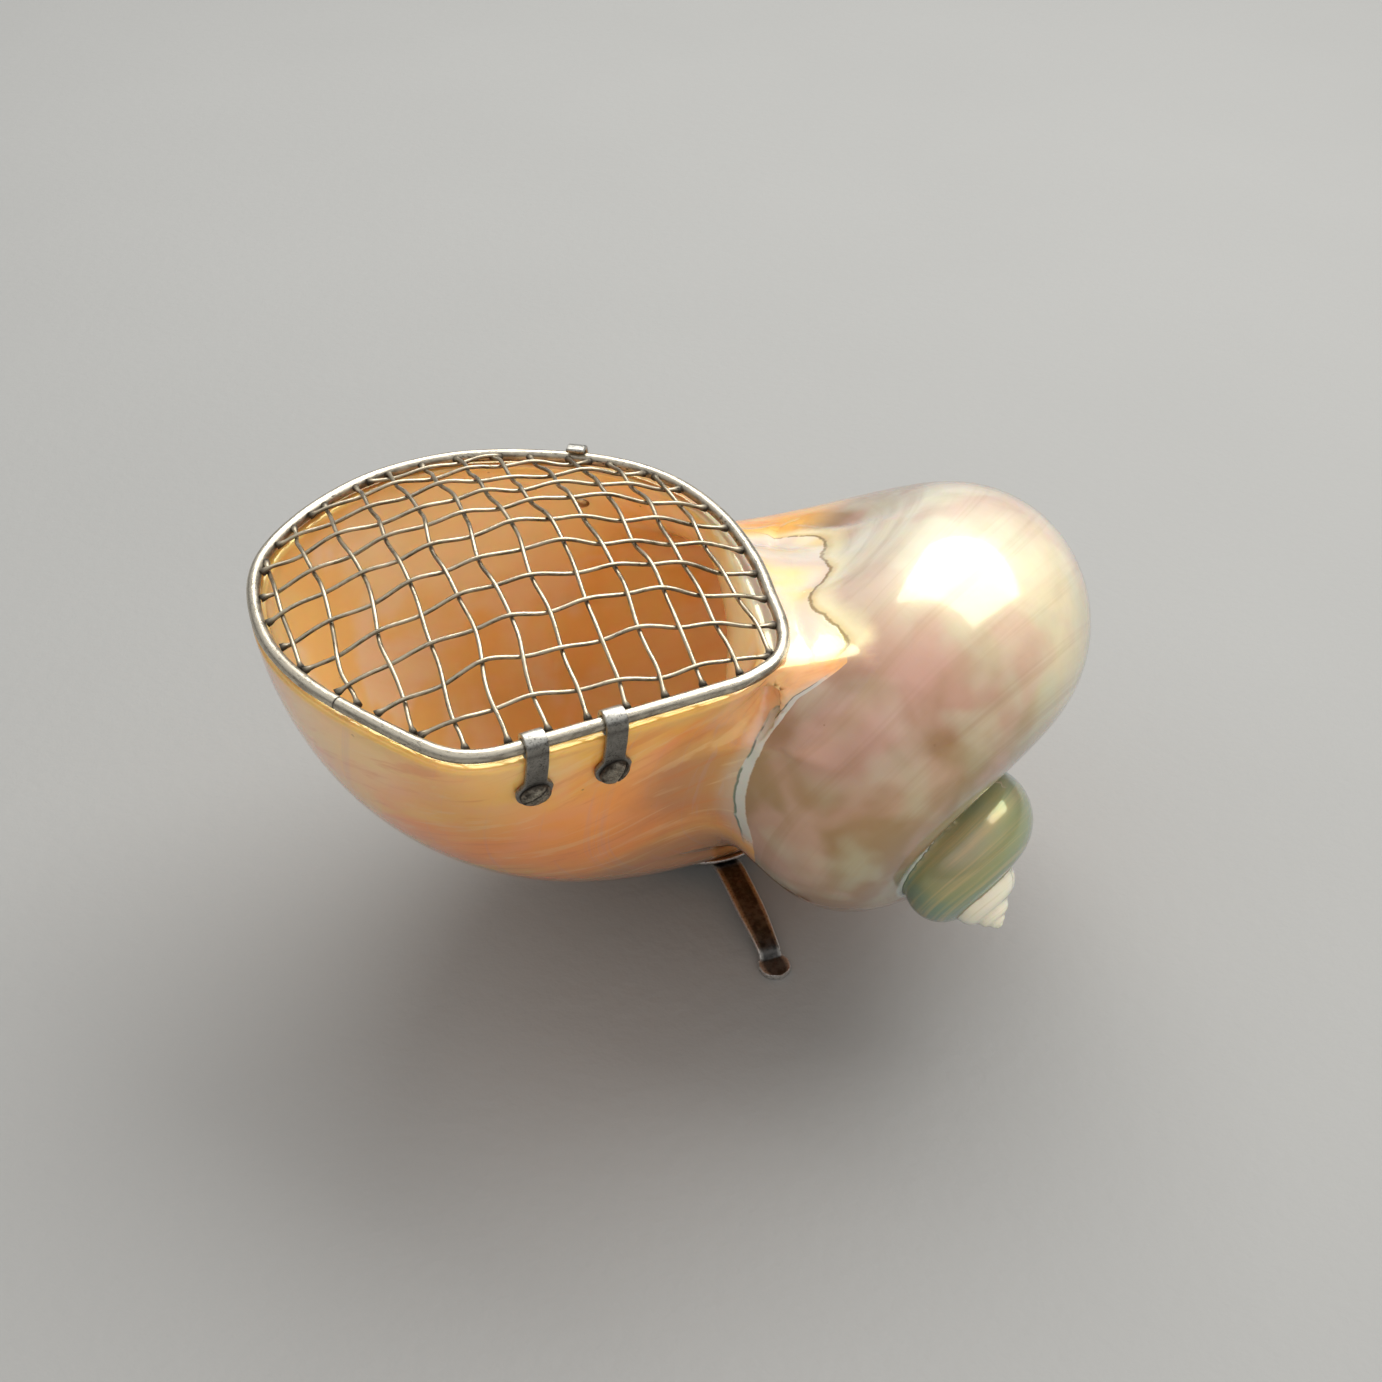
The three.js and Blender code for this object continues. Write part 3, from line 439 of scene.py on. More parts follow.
def cut(one, other, round_over):
    """What is in both, with the edge rounded over."""
    return -joined(-one, -other, round_over)


def line_crossing(distance, start, way, near, far):
    """How far along a ray a distance changes sign, for one ray or for many."""
    start, way = np.atleast_2d(start), np.atleast_2d(way)
    low, high = np.full(len(start), float(near)), np.full(len(start), float(far))
    sign = np.sign(distance(start + way * low[:, None]))
    for _ in range(40):
        middle = (low + high) / 2
        same = np.sign(distance(start + way * middle[:, None])) == sign
        low, high = np.where(same, middle, low), np.where(same, high, middle)
    return (low + high) / 2


def older_distance(points):
    """Distance to the whorl before the mouth's."""
    return tube(coil_place(points), -1)[0]


def callus_table():
    """The saddle's side, middle and whorl points and its depth at closely spaced Y."""
    rows = []
    across = np.array((1.0, 0.0, 0.0))
    for y, side, middle, whorl, depth in CALLUS:
        wall = 0.1 * MOUTH_LENGTH
        wall += line_crossing(wall_distance, (wall, y, side), across, 0, 0.5 * MOUTH_LENGTH)[0] - CALLUS_SIDE

        def reach(z):
            most = 0.75 * MOUTH_LENGTH - wall
            return wall + CALLUS_SIDE + line_crossing(older_distance, (wall, y, z), across, 0, most)[0]

        rows.append((y, wall, side, reach(middle) - 2 * CALLUS_SIDE, middle, reach(whorl), whorl, depth))
    return centripetal(np.array(rows), 160)


CALLUS_ROWS = callus_table()


def callus_distance(points):
    """Distance to the saddle of nacre between the mouth and the ball."""
    columns = [np.interp(points[:, 1], CALLUS_ROWS[:, 0], column) for column in CALLUS_ROWS.T[1:]]
    wall, side, bend, middle, far, whorl, depth = columns
    x, z = points[:, 0], points[:, 2]
    gone = np.clip(x, wall, far) - wall
    slack = wall - 2 * bend + far
    share = 2 * gone / (2 * (bend - wall) + np.sqrt(np.maximum(4 * (bend - wall) ** 2 + 4 * slack * gone, 0)))
    top = (1 - share) ** 2 * side + 2 * share * (1 - share) * middle + share**2 * whorl
    sunk = np.clip((top - z) / depth, 0, 1)
    centre = (wall + bend) / 2
    left = wall + (centre - wall) * sunk
    right = far + (centre - far) * sunk
    first, last = CALLUS_ROWS[0, 0], CALLUS_ROWS[-1, 0]
    return np.max(
        (0.8 * (z - top), top - depth - z, left - x, x - right, first - points[:, 1], points[:, 1] - last), 0
    )


def shell_distances(points, wall, seam_fillet, lip_round):
    """Signed distance to the shell, and to what it is made from, at many points."""
    place = coil_place(untrimmed(points))
    angle, radius, drop = place
    outers = []
    for turn in range(WHORLS):
        outer = tube(place, -turn)[0]
        outers.append(np.maximum(outer, past(place, -turn, MOUTH_END)) if turn == 0 else outer)
    olders = []
    older = np.full(len(points), FAR)
    for turn in range(WHORLS - 1, -1, -1):
        olders.insert(0, older)
        fillet = np.minimum(seam_fillet, SEAM_FILLET_SHARE * section(angle - 360 * turn)[0])
        older = joined(outers[turn], older, fillet) if turn else older
    lip = above_lip(points)
    callus = callus_distance(points) + CALLUS_FADE * np.minimum(points[:, 1] - CALLUS_FADE_FROM, 0) ** 2
    mouth = cut(joined(outers[0], callus, CALLUS_FILLET), lip, lip_round)
    x, y, z = points.T
    notch = np.interp(z, *np.array(NOTCH_FILLET).T) * (1 - smoothstep(y, *NOTCH_BACK))
    beside = smoothstep(x, *BESIDE_CALLUS) * smoothstep(-callus, -6, -1)
    body = joined(mouth, olders[0], seam_fillet + notch + CALLUS_FILLET * beside)
    shallow, deep = section(SPIRE_START)[2], section(PILLAR_END)[2]
    pillar = np.max((radius - PILLAR * drop, drop - deep, shallow - drop), 0)
    body = np.minimum(body, pillar)
    hollow = np.full(len(points), FAR)
    for turn in range(HOLLOWS):
        theta = angle - 360 * turn
        inner = tube(place, -turn, np.minimum(wall, MOST_WALL_SHARE * section(theta)[3]))[0]
        core = COLUMELLA * section(theta)[0] - radius
        start = -past(place, -turn, HOLLOW_START)
        end = past(place, -turn, MOUTH_END)
        hollow = np.minimum(hollow, np.max((inner, -olders[turn], core, start, end), 0))
    return cut(body, -hollow, lip_round), outers, hollow, callus, lip, place


# ---------------------------------------------------------------- making meshes


def grid_lines(low, high, step, fine):
    """Places of the net's cells along one side, closer together in the fine zones."""
    lines = [low]
    while lines[-1] < high:
        here = lines[-1] + 1e-6
        lines.append(lines[-1] + min([step] + [small for start, end, small in fine if start <= here < end]))
    return np.array(lines)


def surface_net(values, sides):
    """Points and quads of the surface where a grid of distances changes sign."""
    corners, cells, flips = [], [], []
    shape = np.array(values.shape) - 1
    for along in range(3):
        low = [slice(None)] * 3
        high = [slice(None)] * 3
        low[along], high[along] = slice(0, -1), slice(1, None)
        before, after = values[tuple(low)], values[tuple(high)]
        hit = np.argwhere((before < 0) != (after < 0))
        a, b = before[tuple(hit.T)], after[tuple(hit.T)]
        point = np.stack([sides[side][hit[:, side]] for side in range(3)], 1)
        gap = sides[along][hit[:, along] + 1] - sides[along][hit[:, along]]
        point[:, along] += gap * a / (a - b)
        u, v = np.eye(3, dtype=int)[(along + 1) % 3], np.eye(3, dtype=int)[(along + 2) % 3]
        around = np.stack([hit - u - v, hit - v, hit, hit - u], 1)
        cells.append(np.ravel_multi_index(np.moveaxis(around, 2, 0), shape))
        corners.append(point)
        flips.append(a > 0)
    cells, corners, flips = np.concatenate(cells), np.concatenate(corners), np.concatenate(flips)
    used, quads = np.unique(cells, return_inverse=True)
    quads = quads.reshape(cells.shape)
    count = np.bincount(quads.ravel(), minlength=len(used))
    points = np.stack([
        np.bincount(quads.ravel(), weights=np.repeat(column, 4), minlength=len(used)) / count
        for column in corners.T
    ], 1)
    quads[flips] = quads[flips][:, ::-1]
    return points, quads


def in_chunks(work, points, size=250000):
    """What a function gives for many points, a part of them at a time to save memory."""
    return np.concatenate([work(points[k:k + size]) for k in range(0, len(points), size)])


def settled(points, distance, rounds=3, step=0.02, most=0.4):
    """Points moved onto the surface where the distance is nothing."""
    for _ in range(rounds):
        here = in_chunks(distance, points)
        slope = np.stack([
            in_chunks(distance, points + probe) - in_chunks(distance, points - probe)
            for probe in np.eye(3) * step
        ], 1) / (2 * step)
        steep = np.maximum((slope**2).sum(1), 0.2)
        move = slope * (here / steep)[:, None]
        length = np.maximum(np.linalg.norm(move, axis=1), 1e-9)
        points = points - move * np.minimum(1, most / length)[:, None]
    return points


def add_piece(name, points, faces, finish, body, slot, *nodes):
    """A smooth mesh object that rides a body and stands for some of the solid parts."""
    mesh = bpy.data.meshes.new(name)
    mesh.from_pydata(to_scene(points).tolist(), [], [tuple(int(k) for k in face) for face in faces])
    mesh.validate()
    mesh.shade_smooth()
    mesh.materials.append(finish)
    piece = bpy.data.objects.new(name, mesh)
    bpy.context.scene.collection.objects.link(piece)
    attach(piece, body)
    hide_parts(*nodes)
    return piece


def tag(piece, name, values):
    """Keeps a number or a triple with each point of a mesh, for its finish to read."""
    values = np.asarray(values, np.float32)
    kind, key = ("FLOAT", "value") if values.ndim == 1 else ("FLOAT_VECTOR", "vector")
    attribute = piece.data.attributes.new(name, kind, "POINT")
    attribute.data.foreach_set(key, values.ravel())


def skin(rings, closed=False):
    """Faces of a tube through rings of points, with its ends shut unless it closes on itself."""
    count, sides = rings.shape[:2]
    bands = count if closed else count - 1
    ring, side = np.meshgrid(np.arange(bands), np.arange(sides), indexing="ij")
    after, turn = (ring + 1) % count, (side + 1) % sides
    here, there = ring * sides, after * sides
    quads = np.stack((here + side, here + turn, there + turn, there + side), -1)
    faces = quads.reshape(-1, 4).tolist()
    if not closed:
        faces.append(list(range(sides))[::-1])
        faces.append([(count - 1) * sides + k for k in range(sides)])
    return rings.reshape(-1, 3), faces


def around(sides):
    """Angles of evenly spaced points round a circle."""
    return np.linspace(0, 2 * np.pi, sides, endpoint=False)


def ways_along(path, closed=False):
    """The way that a line runs at each of its points."""
    before = np.roll(path, 1, 0) if closed else np.vstack((path[:1], path[:-1]))
    after = np.roll(path, -1, 0) if closed else np.vstack((path[1:], path[-1:]))
    return unit(after - before)


def rod(path, radii, sides, closed=False):
    """Rings of points round a line, their radii given for each place."""
    along = ways_along(path, closed)
    aside = unit(np.cross(along, UP))
    lift = np.cross(aside, along)
    turn = around(sides)
    radii = np.broadcast_to(radii, len(path))[:, None, None]
    return path[:, None] + radii * (
        aside[:, None] * np.cos(turn)[None, :, None] + lift[:, None] * -np.sin(turn)[None, :, None]
    )


def wire_grain(path, radius, sides):
    """Length along a wire and place round it, in millimetres, for each point of its rings."""
    turn = around(sides)
    round_it = np.tile(np.stack((np.cos(turn), np.sin(turn)), 1) * radius, (len(path), 1))
    return np.column_stack((np.repeat(lengths_along(path) * GRAIN_STRETCH, sides), round_it))


def strip_ring(half_width, half_thick, corner, dish):
    """Section of a flat strip with rounded corners, its upper face dished a little."""
    corner = min(corner, 0.98 * half_width, 0.98 * half_thick)
    ring = []
    for centre, start in (((1, 1), 0), ((-1, 1), 90), ((-1, -1), 180), ((1, -1), 270)):
        for turn in np.radians(np.linspace(start, start + 90, 5)):
            ring.append((
                centre[0] * (half_width - corner) + corner * np.cos(turn),
                centre[1] * (half_thick - corner) + corner * np.sin(turn),
            ))
        if centre == (1, 1):
            for x in np.linspace(half_width - corner, corner - half_width, 7)[1:-1]:
                ring.append((x, half_thick - dish * (1 - (x / half_width) ** 2)))
    return ring


def strip(path, side, widths, thickness, corner=0.22, dish=0.0):
    """A flat strip along a line, square to the given side direction at every place."""
    face = unit(np.cross(side, ways_along(path)))
    dish = np.broadcast_to(dish, len(path))
    rings = []
    for point, normal, width, hollow in zip(path, face, widths, dish):
        outline = np.array(strip_ring(width / 2, thickness / 2, corner, hollow))
        rings.append(point + outline[:, :1] * side + outline[:, 1:] * normal)
    return skin(np.array(rings))


def bent(points, spacing):
    """A line through points in its side view, with its bends eased, at an even spacing."""
    points = np.asarray(points, float)
    length = np.linalg.norm(np.diff(points, axis=0), axis=1).sum()
    return centripetal(points, max(8, int(length / spacing)))


def paddle(path, centre, width, radius, past_end):
    """The path carried on to a round end, and its widths: the strip's own, then the round's."""
    end = unit(path[-1] - path[-2])
    extra = np.linspace(0, past_end, 12)[1:, None] * end + path[-1]
    path = np.vstack((path, extra))
    path = evenly(path, 2 * len(path))
    off = np.linalg.norm(path - centre, axis=1)
    ahead = (path - centre) @ end
    round_end = np.sqrt(np.maximum(radius**2 - np.minimum(off, radius) ** 2, 0))
    keep = ahead < 0.05
    swell = 2 * round_end
    soft = 0.9
    near = np.clip((soft - np.abs(width - swell)) / soft, 0, 1) * (off < radius + soft)
    widths = np.maximum(width, swell) + near**2 * soft / 4
    widths = widths * np.where(off < radius, 1 + 0.03 * np.sin(3.1 * off + 2.0 * radius), 1)
    tail = np.radians(np.linspace(0, 90, 10))[1:]
    tips = centre + end * (radius * np.sin(tail))[:, None]
    tip_widths = np.maximum(2 * radius * np.cos(tail), 0.12)
    return np.vstack((path[keep], tips)), np.concatenate((widths[keep], tip_widths))


def spun(profile, sides):
    """Rings of points about Z, one for each radius and height of a profile."""
    profile = np.asarray(profile, float)
    turn = around(sides)
    heights = np.broadcast_to(profile[:, 1:], (len(profile), sides))
    return np.stack((profile[:, :1] * np.cos(turn), profile[:, :1] * np.sin(turn), heights), -1)


def turned(profile, sides):
    """A closed body turned about Z, from a profile of radii and heights that starts and ends on it."""
    body = profile[1:-1]
    points, faces = skin(spun(body, sides))
    faces = faces[:-2]
    first, last = len(points), len(points) + 1
    points = np.vstack((points, (0, 0, profile[0][1]), (0, 0, profile[-1][1])))
    base = (len(body) - 1) * sides
    for k in range(sides):
        faces.append((first, (k + 1) % sides, k))
        faces.append((last, base + k, base + (k + 1) % sides))
    return points, faces


def stood(points, spot, normal, spin=0.0):
    """Points made about Z, stood on a spot along its normal."""
    turn = Vector((0, 0, 1)).rotation_difference(Vector(normal)).to_matrix() @ Matrix.Rotation(spin, 3, "Z")
    return points @ np.array(turn).T + spot


def closed_out(points, faces):
    """The same faces, turned over if they enclose a negative volume."""
    volume = 0.0
    for face in faces:
        a = points[face[0]]
        for b, c in zip(face[1:-1], face[2:]):
            volume += a @ np.cross(points[b], points[c])
    return faces if volume > 0 else [tuple(reversed(face)) for face in faces]


def add_solid(name, points, faces, *rest):
    """A piece whose faces look outwards."""
    return add_piece(name, points, closed_out(points, faces), *rest)


# ---------------------------------------------------------------- finishes


class Finish:
    """A node material, put together from short calls that give back sockets."""

    def __init__(self, name):
        self.material = bpy.data.materials.new(name)
        self.material.use_nodes = True
        self.tree = self.material.node_tree
        self.tree.nodes.clear()
        self.output = self.tree.nodes.new("ShaderNodeOutputMaterial")
        self.shader = self.tree.nodes.new("ShaderNodeBsdfPrincipled")
        self.tree.links.new(self.shader.outputs[0], self.output.inputs[0])
        self.bumped = None

    def put(self, socket, value):
        if isinstance(value, bpy.types.NodeSocket):
            self.tree.links.new(value, socket)
        elif value is not None:
            if socket.type == "RGBA" and len(value) == 3:
                value = (*value, 1.0)
            socket.default_value = value

    def node(self, kind, **inputs):
        node = self.tree.nodes.new(kind)
        for key, value in inputs.items():
            self.put(node.inputs[key], value)
        return node.outputs[0]

    def math(self, kind, a, b):
        node = self.tree.nodes.new("ShaderNodeMath")
        node.operation = kind
        self.put(node.inputs[0], a)
        self.put(node.inputs[1], b)
        return node.outputs[0]

    def times(self, *shares):
        product = shares[0]
        for share in shares[1:]:
            product = self.math("MULTIPLY", product, share)
        return product

    def added(self, value, *shares):
        """The value with a product of shares added."""
        return self.math("ADD", value, self.times(*shares))

    def over(self, under, colour, *shares):
        """A colour laid over another one by a product of shares."""
        return self.mix(self.times(*shares), under, colour)

    def mix(self, share, a, b):
        node = self.tree.nodes.new("ShaderNodeMix")
        node.data_type = "RGBA"
        self.put(node.inputs[0], share)
        self.put(node.inputs[6], a)
        self.put(node.inputs[7], b)
        return node.outputs[2]

    def away(self, place, spot):
        """Distance from a spot given in the mouth's frame."""
        node = self.tree.nodes.new("ShaderNodeVectorMath")
        node.operation = "DISTANCE"
        self.put(node.inputs[0], place)
        node.inputs[1].default_value = to_scene(spot) / MM
        return node.outputs["Value"]

    def band(self, value, low, high):
        """From nothing at the low value to one at the high value, eased."""
        node = self.tree.nodes.new("ShaderNodeMapRange")
        node.interpolation_type = "SMOOTHSTEP"
        for socket, number in zip(node.inputs, (value, low, high)):
            self.put(socket, number)
        return node.outputs[0]

    def tagged(self, name, output="Fac"):
        node = self.tree.nodes.new("ShaderNodeAttribute")
        node.attribute_name = name
        return node.outputs[output]

    def place(self):
        """Where a point is in the scene, in millimetres."""
        return self.mapped(self.tree.nodes.new("ShaderNodeTexCoord").outputs["Object"], (1 / MM,) * 3)

    def mapped(self, vector, scale=(1, 1, 1), shift=(0, 0, 0), slant=0.0):
        node = self.tree.nodes.new("ShaderNodeMapping")
        self.put(node.inputs["Vector"], vector)
        node.inputs["Scale"].default_value = scale
        node.inputs["Location"].default_value = shift
        node.inputs["Rotation"].default_value = (0.0, slant, 0.0)
        return node.outputs[0]

    def noise(self, vector, scale, detail=3.0, rough=0.5, bend=0.0):
        return self.node(
            "ShaderNodeTexNoise", Vector=vector, Scale=scale, Detail=detail, Roughness=rough, Distortion=bend
        )

    def spots(self, vector, scale):
        return self.node("ShaderNodeTexVoronoi", Vector=vector, Scale=scale)

    def bump(self, height, distance):
        node = self.tree.nodes.new("ShaderNodeBump")
        node.inputs["Strength"].default_value = 1.0
        node.inputs["Distance"].default_value = distance
        self.put(node.inputs["Height"], height)
        if self.bumped is not None:
            self.put(node.inputs["Normal"], self.bumped)
        self.bumped = node.outputs[0]

    def finish(self, **inputs):
        for key, value in inputs.items():
            self.put(self.shader.inputs[key.replace("_", " ")], value)
        if self.bumped is not None:
            self.put(self.shader.inputs["Normal"], self.bumped)
        return self.material


# Clouds of colour at places on the shell: the middle in millimetres of the mouth's frame, radius,
# width of the faded edge, strength and colour
WALL_CLOUDS = (
    ((2, -36, -8), 4, 10, 0.45, "cream"), ((-24, -27, -9), 6, 14, 0.5, "cream"),
    ((-3, -35, -16), 6, 10, 0.7, "gold"), ((12, -25, -30), 10, 13, 0.85, "orange"),
)
# The umber clouds, beside the seam and low down, are painted shade
CORNER_CLOUDS = (
    ((40, -19, -5), 6, 9, 0.8, "peach"), ((29, -20, -22), 6, 11, 0.75, "umber_shade"),
    ((27, -3, -54), 13, 16, 0.8, "umber_shade"),
)
# The tan cloud low on the ball's front is painted shade
BALL_CLOUDS = (
    ((64, 8, -2), 13, 18, 0.85, "pearl"), ((82, 0, -12), 9, 16, 0.6, "halo"),
    ((50, -18, -34), 27, 18, 0.9, "tan"),
)
BOWL_CLOUDS = (((36, 12, -14), 13, 16, 0.85, "halo"), ((-8, 36, -12), 14, 18, 0.7, "halo"))


def nacre_finish(look):
    """Polished mother of pearl: orange at the mouth, pearly on the ball, green and white at the spire."""
    f = Finish("nacre")
    place, grain = f.place(), f.tagged("grain", "Vector")
    inside, depth, edge, saddle = (f.tagged(name) for name in ("inside", "depth", "edge", "saddle"))

    def wobble(value, scale, amount):
        return f.added(value, f.math("SUBTRACT", f.noise(place, scale, 3, 0.6), 0.5), amount)

    def clouded(colour, clouds):
        for spot, radius, fade, strength, name in clouds:
            cloud = f.band(wobble(f.away(place, spot), 0.12, 9.0), radius + fade, radius)
            colour = f.over(colour, getattr(look, name), cloud, strength)
        return colour

    broad = f.noise(place, 0.034, 2, 0.5, 0.4)
    drift = f.noise(f.mapped(place, shift=(31, 17, 5)), 0.07, 2.5, 0.5, 0.3)
    cloud = f.noise(f.mapped(place, shift=(70, 40, 90)), 0.1, 1.5, 0.45, 0.3)
    streak = f.noise(f.mapped(grain, (5, 5, 0.3)), 1.0, 4, 0.6, 0.5)
    fine_streak = f.noise(f.mapped(grain, (22, 22, 0.8)), 1.0, 3, 0.6, 0.2)
    growth = f.noise(f.mapped(grain, (1.2, 1.2, 22)), 1.0, 3, 0.6, 0.3)

    # Mouth whorl: orange, gold and peach, swept along its coil
    level = f.mapped(place, slant=SWEEP_SLANT)
    sweep = f.noise(f.mapped(level, (0.03, 0.06, 0.13)), 1.0, 3, 0.5, 0.6)
    fine_sweep = f.noise(f.mapped(level, (0.05, 0.1, 0.42), (9, 4, 2)), 1.0, 3, 0.6, 0.5)
    mouth = f.mix(f.band(sweep, 0.42, 0.6), look.orange, look.gold)
    mouth = f.over(mouth, look.peach, f.band(broad, 0.45, 0.7), 0.5)
    mouth = clouded(mouth, WALL_CLOUDS)
    mouth = f.over(mouth, look.pink, f.band(cloud, 0.5, 0.7), 0.25)
    # Painted shade from the umber clouds beside the seam and low down
    mouth = clouded(mouth, CORNER_CLOUDS)
    mouth = f.over(mouth, look.rust, f.band(fine_sweep, 0.54, 0.68), 0.4)
    mouth = f.over(mouth, look.cream, f.band(fine_sweep, 0.44, 0.34), 0.22)
    mouth = f.over(mouth, look.violet, f.band(fine_streak, 0.56, 0.7), 0.16)

    # Ball: cream and tan with pink and green clouds, the tan darkened and laid low on the front as painted
    # shade
    ball = f.over(look.tan, look.pearl, f.band(broad, 0.4, 0.7), 0.55)
    ball = clouded(ball, BALL_CLOUDS)
    ball = f.over(ball, look.lilac, f.band(drift, 0.44, 0.64), 0.45)
    ball = f.over(ball, look.green, f.band(cloud, 0.44, 0.68), 0.4)
    ball = f.over(ball, look.brown, f.band(streak, 0.46, 0.7), 0.3)

    # Spire: grey green with gold streaks, then a white tip
    spire = f.mix(f.band(drift, 0.4, 0.6), look.sea, look.moss)
    spire = f.over(spire, look.straw, f.band(streak, 0.44, 0.66), 0.6)
    tip = f.over(look.ivory, look.straw, f.band(streak, 0.5, 0.7), 0.35)

    # Seams, from the tip to the mouth: the younger colour, a chalky band and a dark line
    def seam(k):
        return wobble(f.tagged(f"edge_{k}"), 0.5, 0.35), f.tagged(f"young_{k}")

    at, young = seam(2)
    line = f.times(f.band(at, -0.22, -0.02), f.band(at, 0.3, 0.06))
    colour = f.over(tip, spire, f.band(at, -0.1, 0.1), young)
    colour = f.over(colour, look.brown, line, 0.7)
    at, young = seam(1)
    colour = f.over(colour, ball, f.band(at, -0.1, 0.1), young)
    colour = f.over(colour, look.chalk, f.band(at, 0.0, 0.2), f.band(at, 1.7, 0.9), young, 0.9)
    colour = f.over(colour, look.thread, f.band(at, -0.35, -0.1), f.band(at, 0.16, 0.0), young, 0.85)
    at, young = seam(0)
    open_seam = f.math("SUBTRACT", 1.0, f.times(saddle, f.band(edge, -1.0, -4.0)))
    open_seam = f.times(open_seam, f.tagged("low"))
    mouth = f.over(mouth, look.chalk, f.band(at, 3.6, 1.1), 0.4, open_seam)
    colour = f.over(colour, mouth, f.band(at, -0.05, 0.05), young)
    chalk = f.times(f.band(at, -0.12, 0.12), f.band(at, 1.2, 1.0), young, open_seam)
    colour = f.over(colour, look.chalk, chalk, 0.92)
    line = f.times(f.band(at, 0.82, 0.95), f.band(at, 1.2, 1.05), young, open_seam)
    colour = f.over(colour, look.thread, line, f.band(f.noise(place, 0.25, 2, 0.6), 0.32, 0.5), 0.8)

    # Saddle beside the mouth, and its scalloped dark edge
    scallop = wobble(edge, 0.3, 1.6)
    smooth = f.mix(f.band(drift, 0.4, 0.62), look.saddle, look.cream)
    smooth = f.over(smooth, look.pearl, f.band(cloud, 0.45, 0.6), 0.5)
    colour = f.over(colour, look.halo, saddle, f.band(scallop, -0.4, 0.3), f.band(scallop, 5.5, 1.5), 0.8)
    colour = f.over(colour, look.stain, saddle, f.band(scallop, -0.2, 0.2), f.band(scallop, 1.9, 0.4), 0.45)
    colour = f.over(colour, smooth, saddle, f.band(scallop, 0.15, -0.15))
    broken = f.band(f.noise(place, 0.42, 2, 0.6), 0.3, 0.46)
    line = f.times(f.band(scallop, -0.45, -0.1), f.band(scallop, 0.55, 0.1), broken, saddle)
    colour = f.over(colour, look.dark_line, line, 0.9)

    # Inside: peach and gold, streaked
    bowl = f.mix(f.band(drift, 0.38, 0.6), look.bowl, look.bowl_gold)
    bowl = f.over(bowl, look.cream, f.band(broad, 0.5, 0.68), 0.7)
    bowl = f.over(bowl, look.bowl_deep, f.band(streak, 0.46, 0.7), 0.3)
    colour = f.mix(inside, colour, clouded(bowl, BOWL_CLOUDS))

    # Lip: translucent yellow, with a few chips, and small marks everywhere
    at_lip = f.band(wobble(depth, 0.07, 5.5), 3.6, 0.4)
    colour = f.over(colour, look.lip, at_lip, 0.6)
    chipped = f.band(f.noise(place, 0.16, 1), 0.58, 0.64)
    chip = f.times(f.band(f.spots(place, 0.42), 0.2, 0.12), chipped, at_lip)
    colour = f.over(colour, look.speck, chip, 0.7)
    marked = f.band(f.noise(place, 0.06, 1), 0.55, 0.65)
    colour = f.over(colour, look.speck, f.band(f.spots(place, 0.2), 0.055, 0.03), marked, 0.7)

    scratch = f.noise(f.mapped(grain, (30, 30, 1.6), (5, 2, 8)), 1.0, 2, 0.7)
    rough = f.added(0.165, f.band(cloud, 0.35, 0.7), 0.06)
    rough = f.added(rough, f.band(scratch, 0.45, 0.75), 0.03)
    rough = f.added(rough, chalk, 0.2)
    for height, distance in (
        (growth, 0.00002), (fine_streak, 0.000015), (f.noise(place, 0.16, 2), 0.00005),
        (f.math("MULTIPLY", line, -1.0), 0.00005), (f.math("MULTIPLY", chip, -1.0), 0.0001),
    ):
        f.bump(height, distance)
    return f.finish(
        Base_Color=colour, Metallic=0.1, Roughness=rough, IOR=1.6, Specular_IOR_Level=0.6,
        Subsurface_Weight=0.4, Subsurface_Radius=(1.0, 0.4, 0.14), Subsurface_Scale=0.004,
        Coat_Weight=0.6, Coat_Roughness=0.05, Coat_IOR=1.6, Thin_Film_Thickness=430.0, Thin_Film_IOR=1.45,
    )


# Colours of each metal's bright and dull parts, its dirt, roughness and shine, and the depth of its
# pits. A tagged one has its wear, dirt, painted highlights and painted shade drawn on the piece, a grained
# one follows a wire.
METALS = {
    "hoop_wear_sheen_and_shade": ("hoop_bright", "hoop_dull", 0.8, 0.22, 1.0, 1.0, True, True),
    "mesh_wear_sheen_and_shade": ("mesh_bright", "mesh_dull", 0.8, 0.26, 1.0, 1.0, True, True),
    "strap_worn": ("strap_bright", "strap_dull", 0.7, 0.28, 0.3, 1.0, True, False),
    "screw_worn": ("hoop_bright", "dirt_and_shade", 1.4, 0.22, 0.55, 10.0, True, False),
    "leg_worn": ("leg_bright", "leg_dull", 0.3, 0.33, 0.12, 1.0, True, False),
    "nut_plain": ("strap_bright", "strap_dull", 0.9, 0.34, 1.0, 1.0, False, False),
    "peened_plain": ("hoop_bright", "hoop_dull", 0.3, 0.3, 1.0, 1.0, False, False),
}


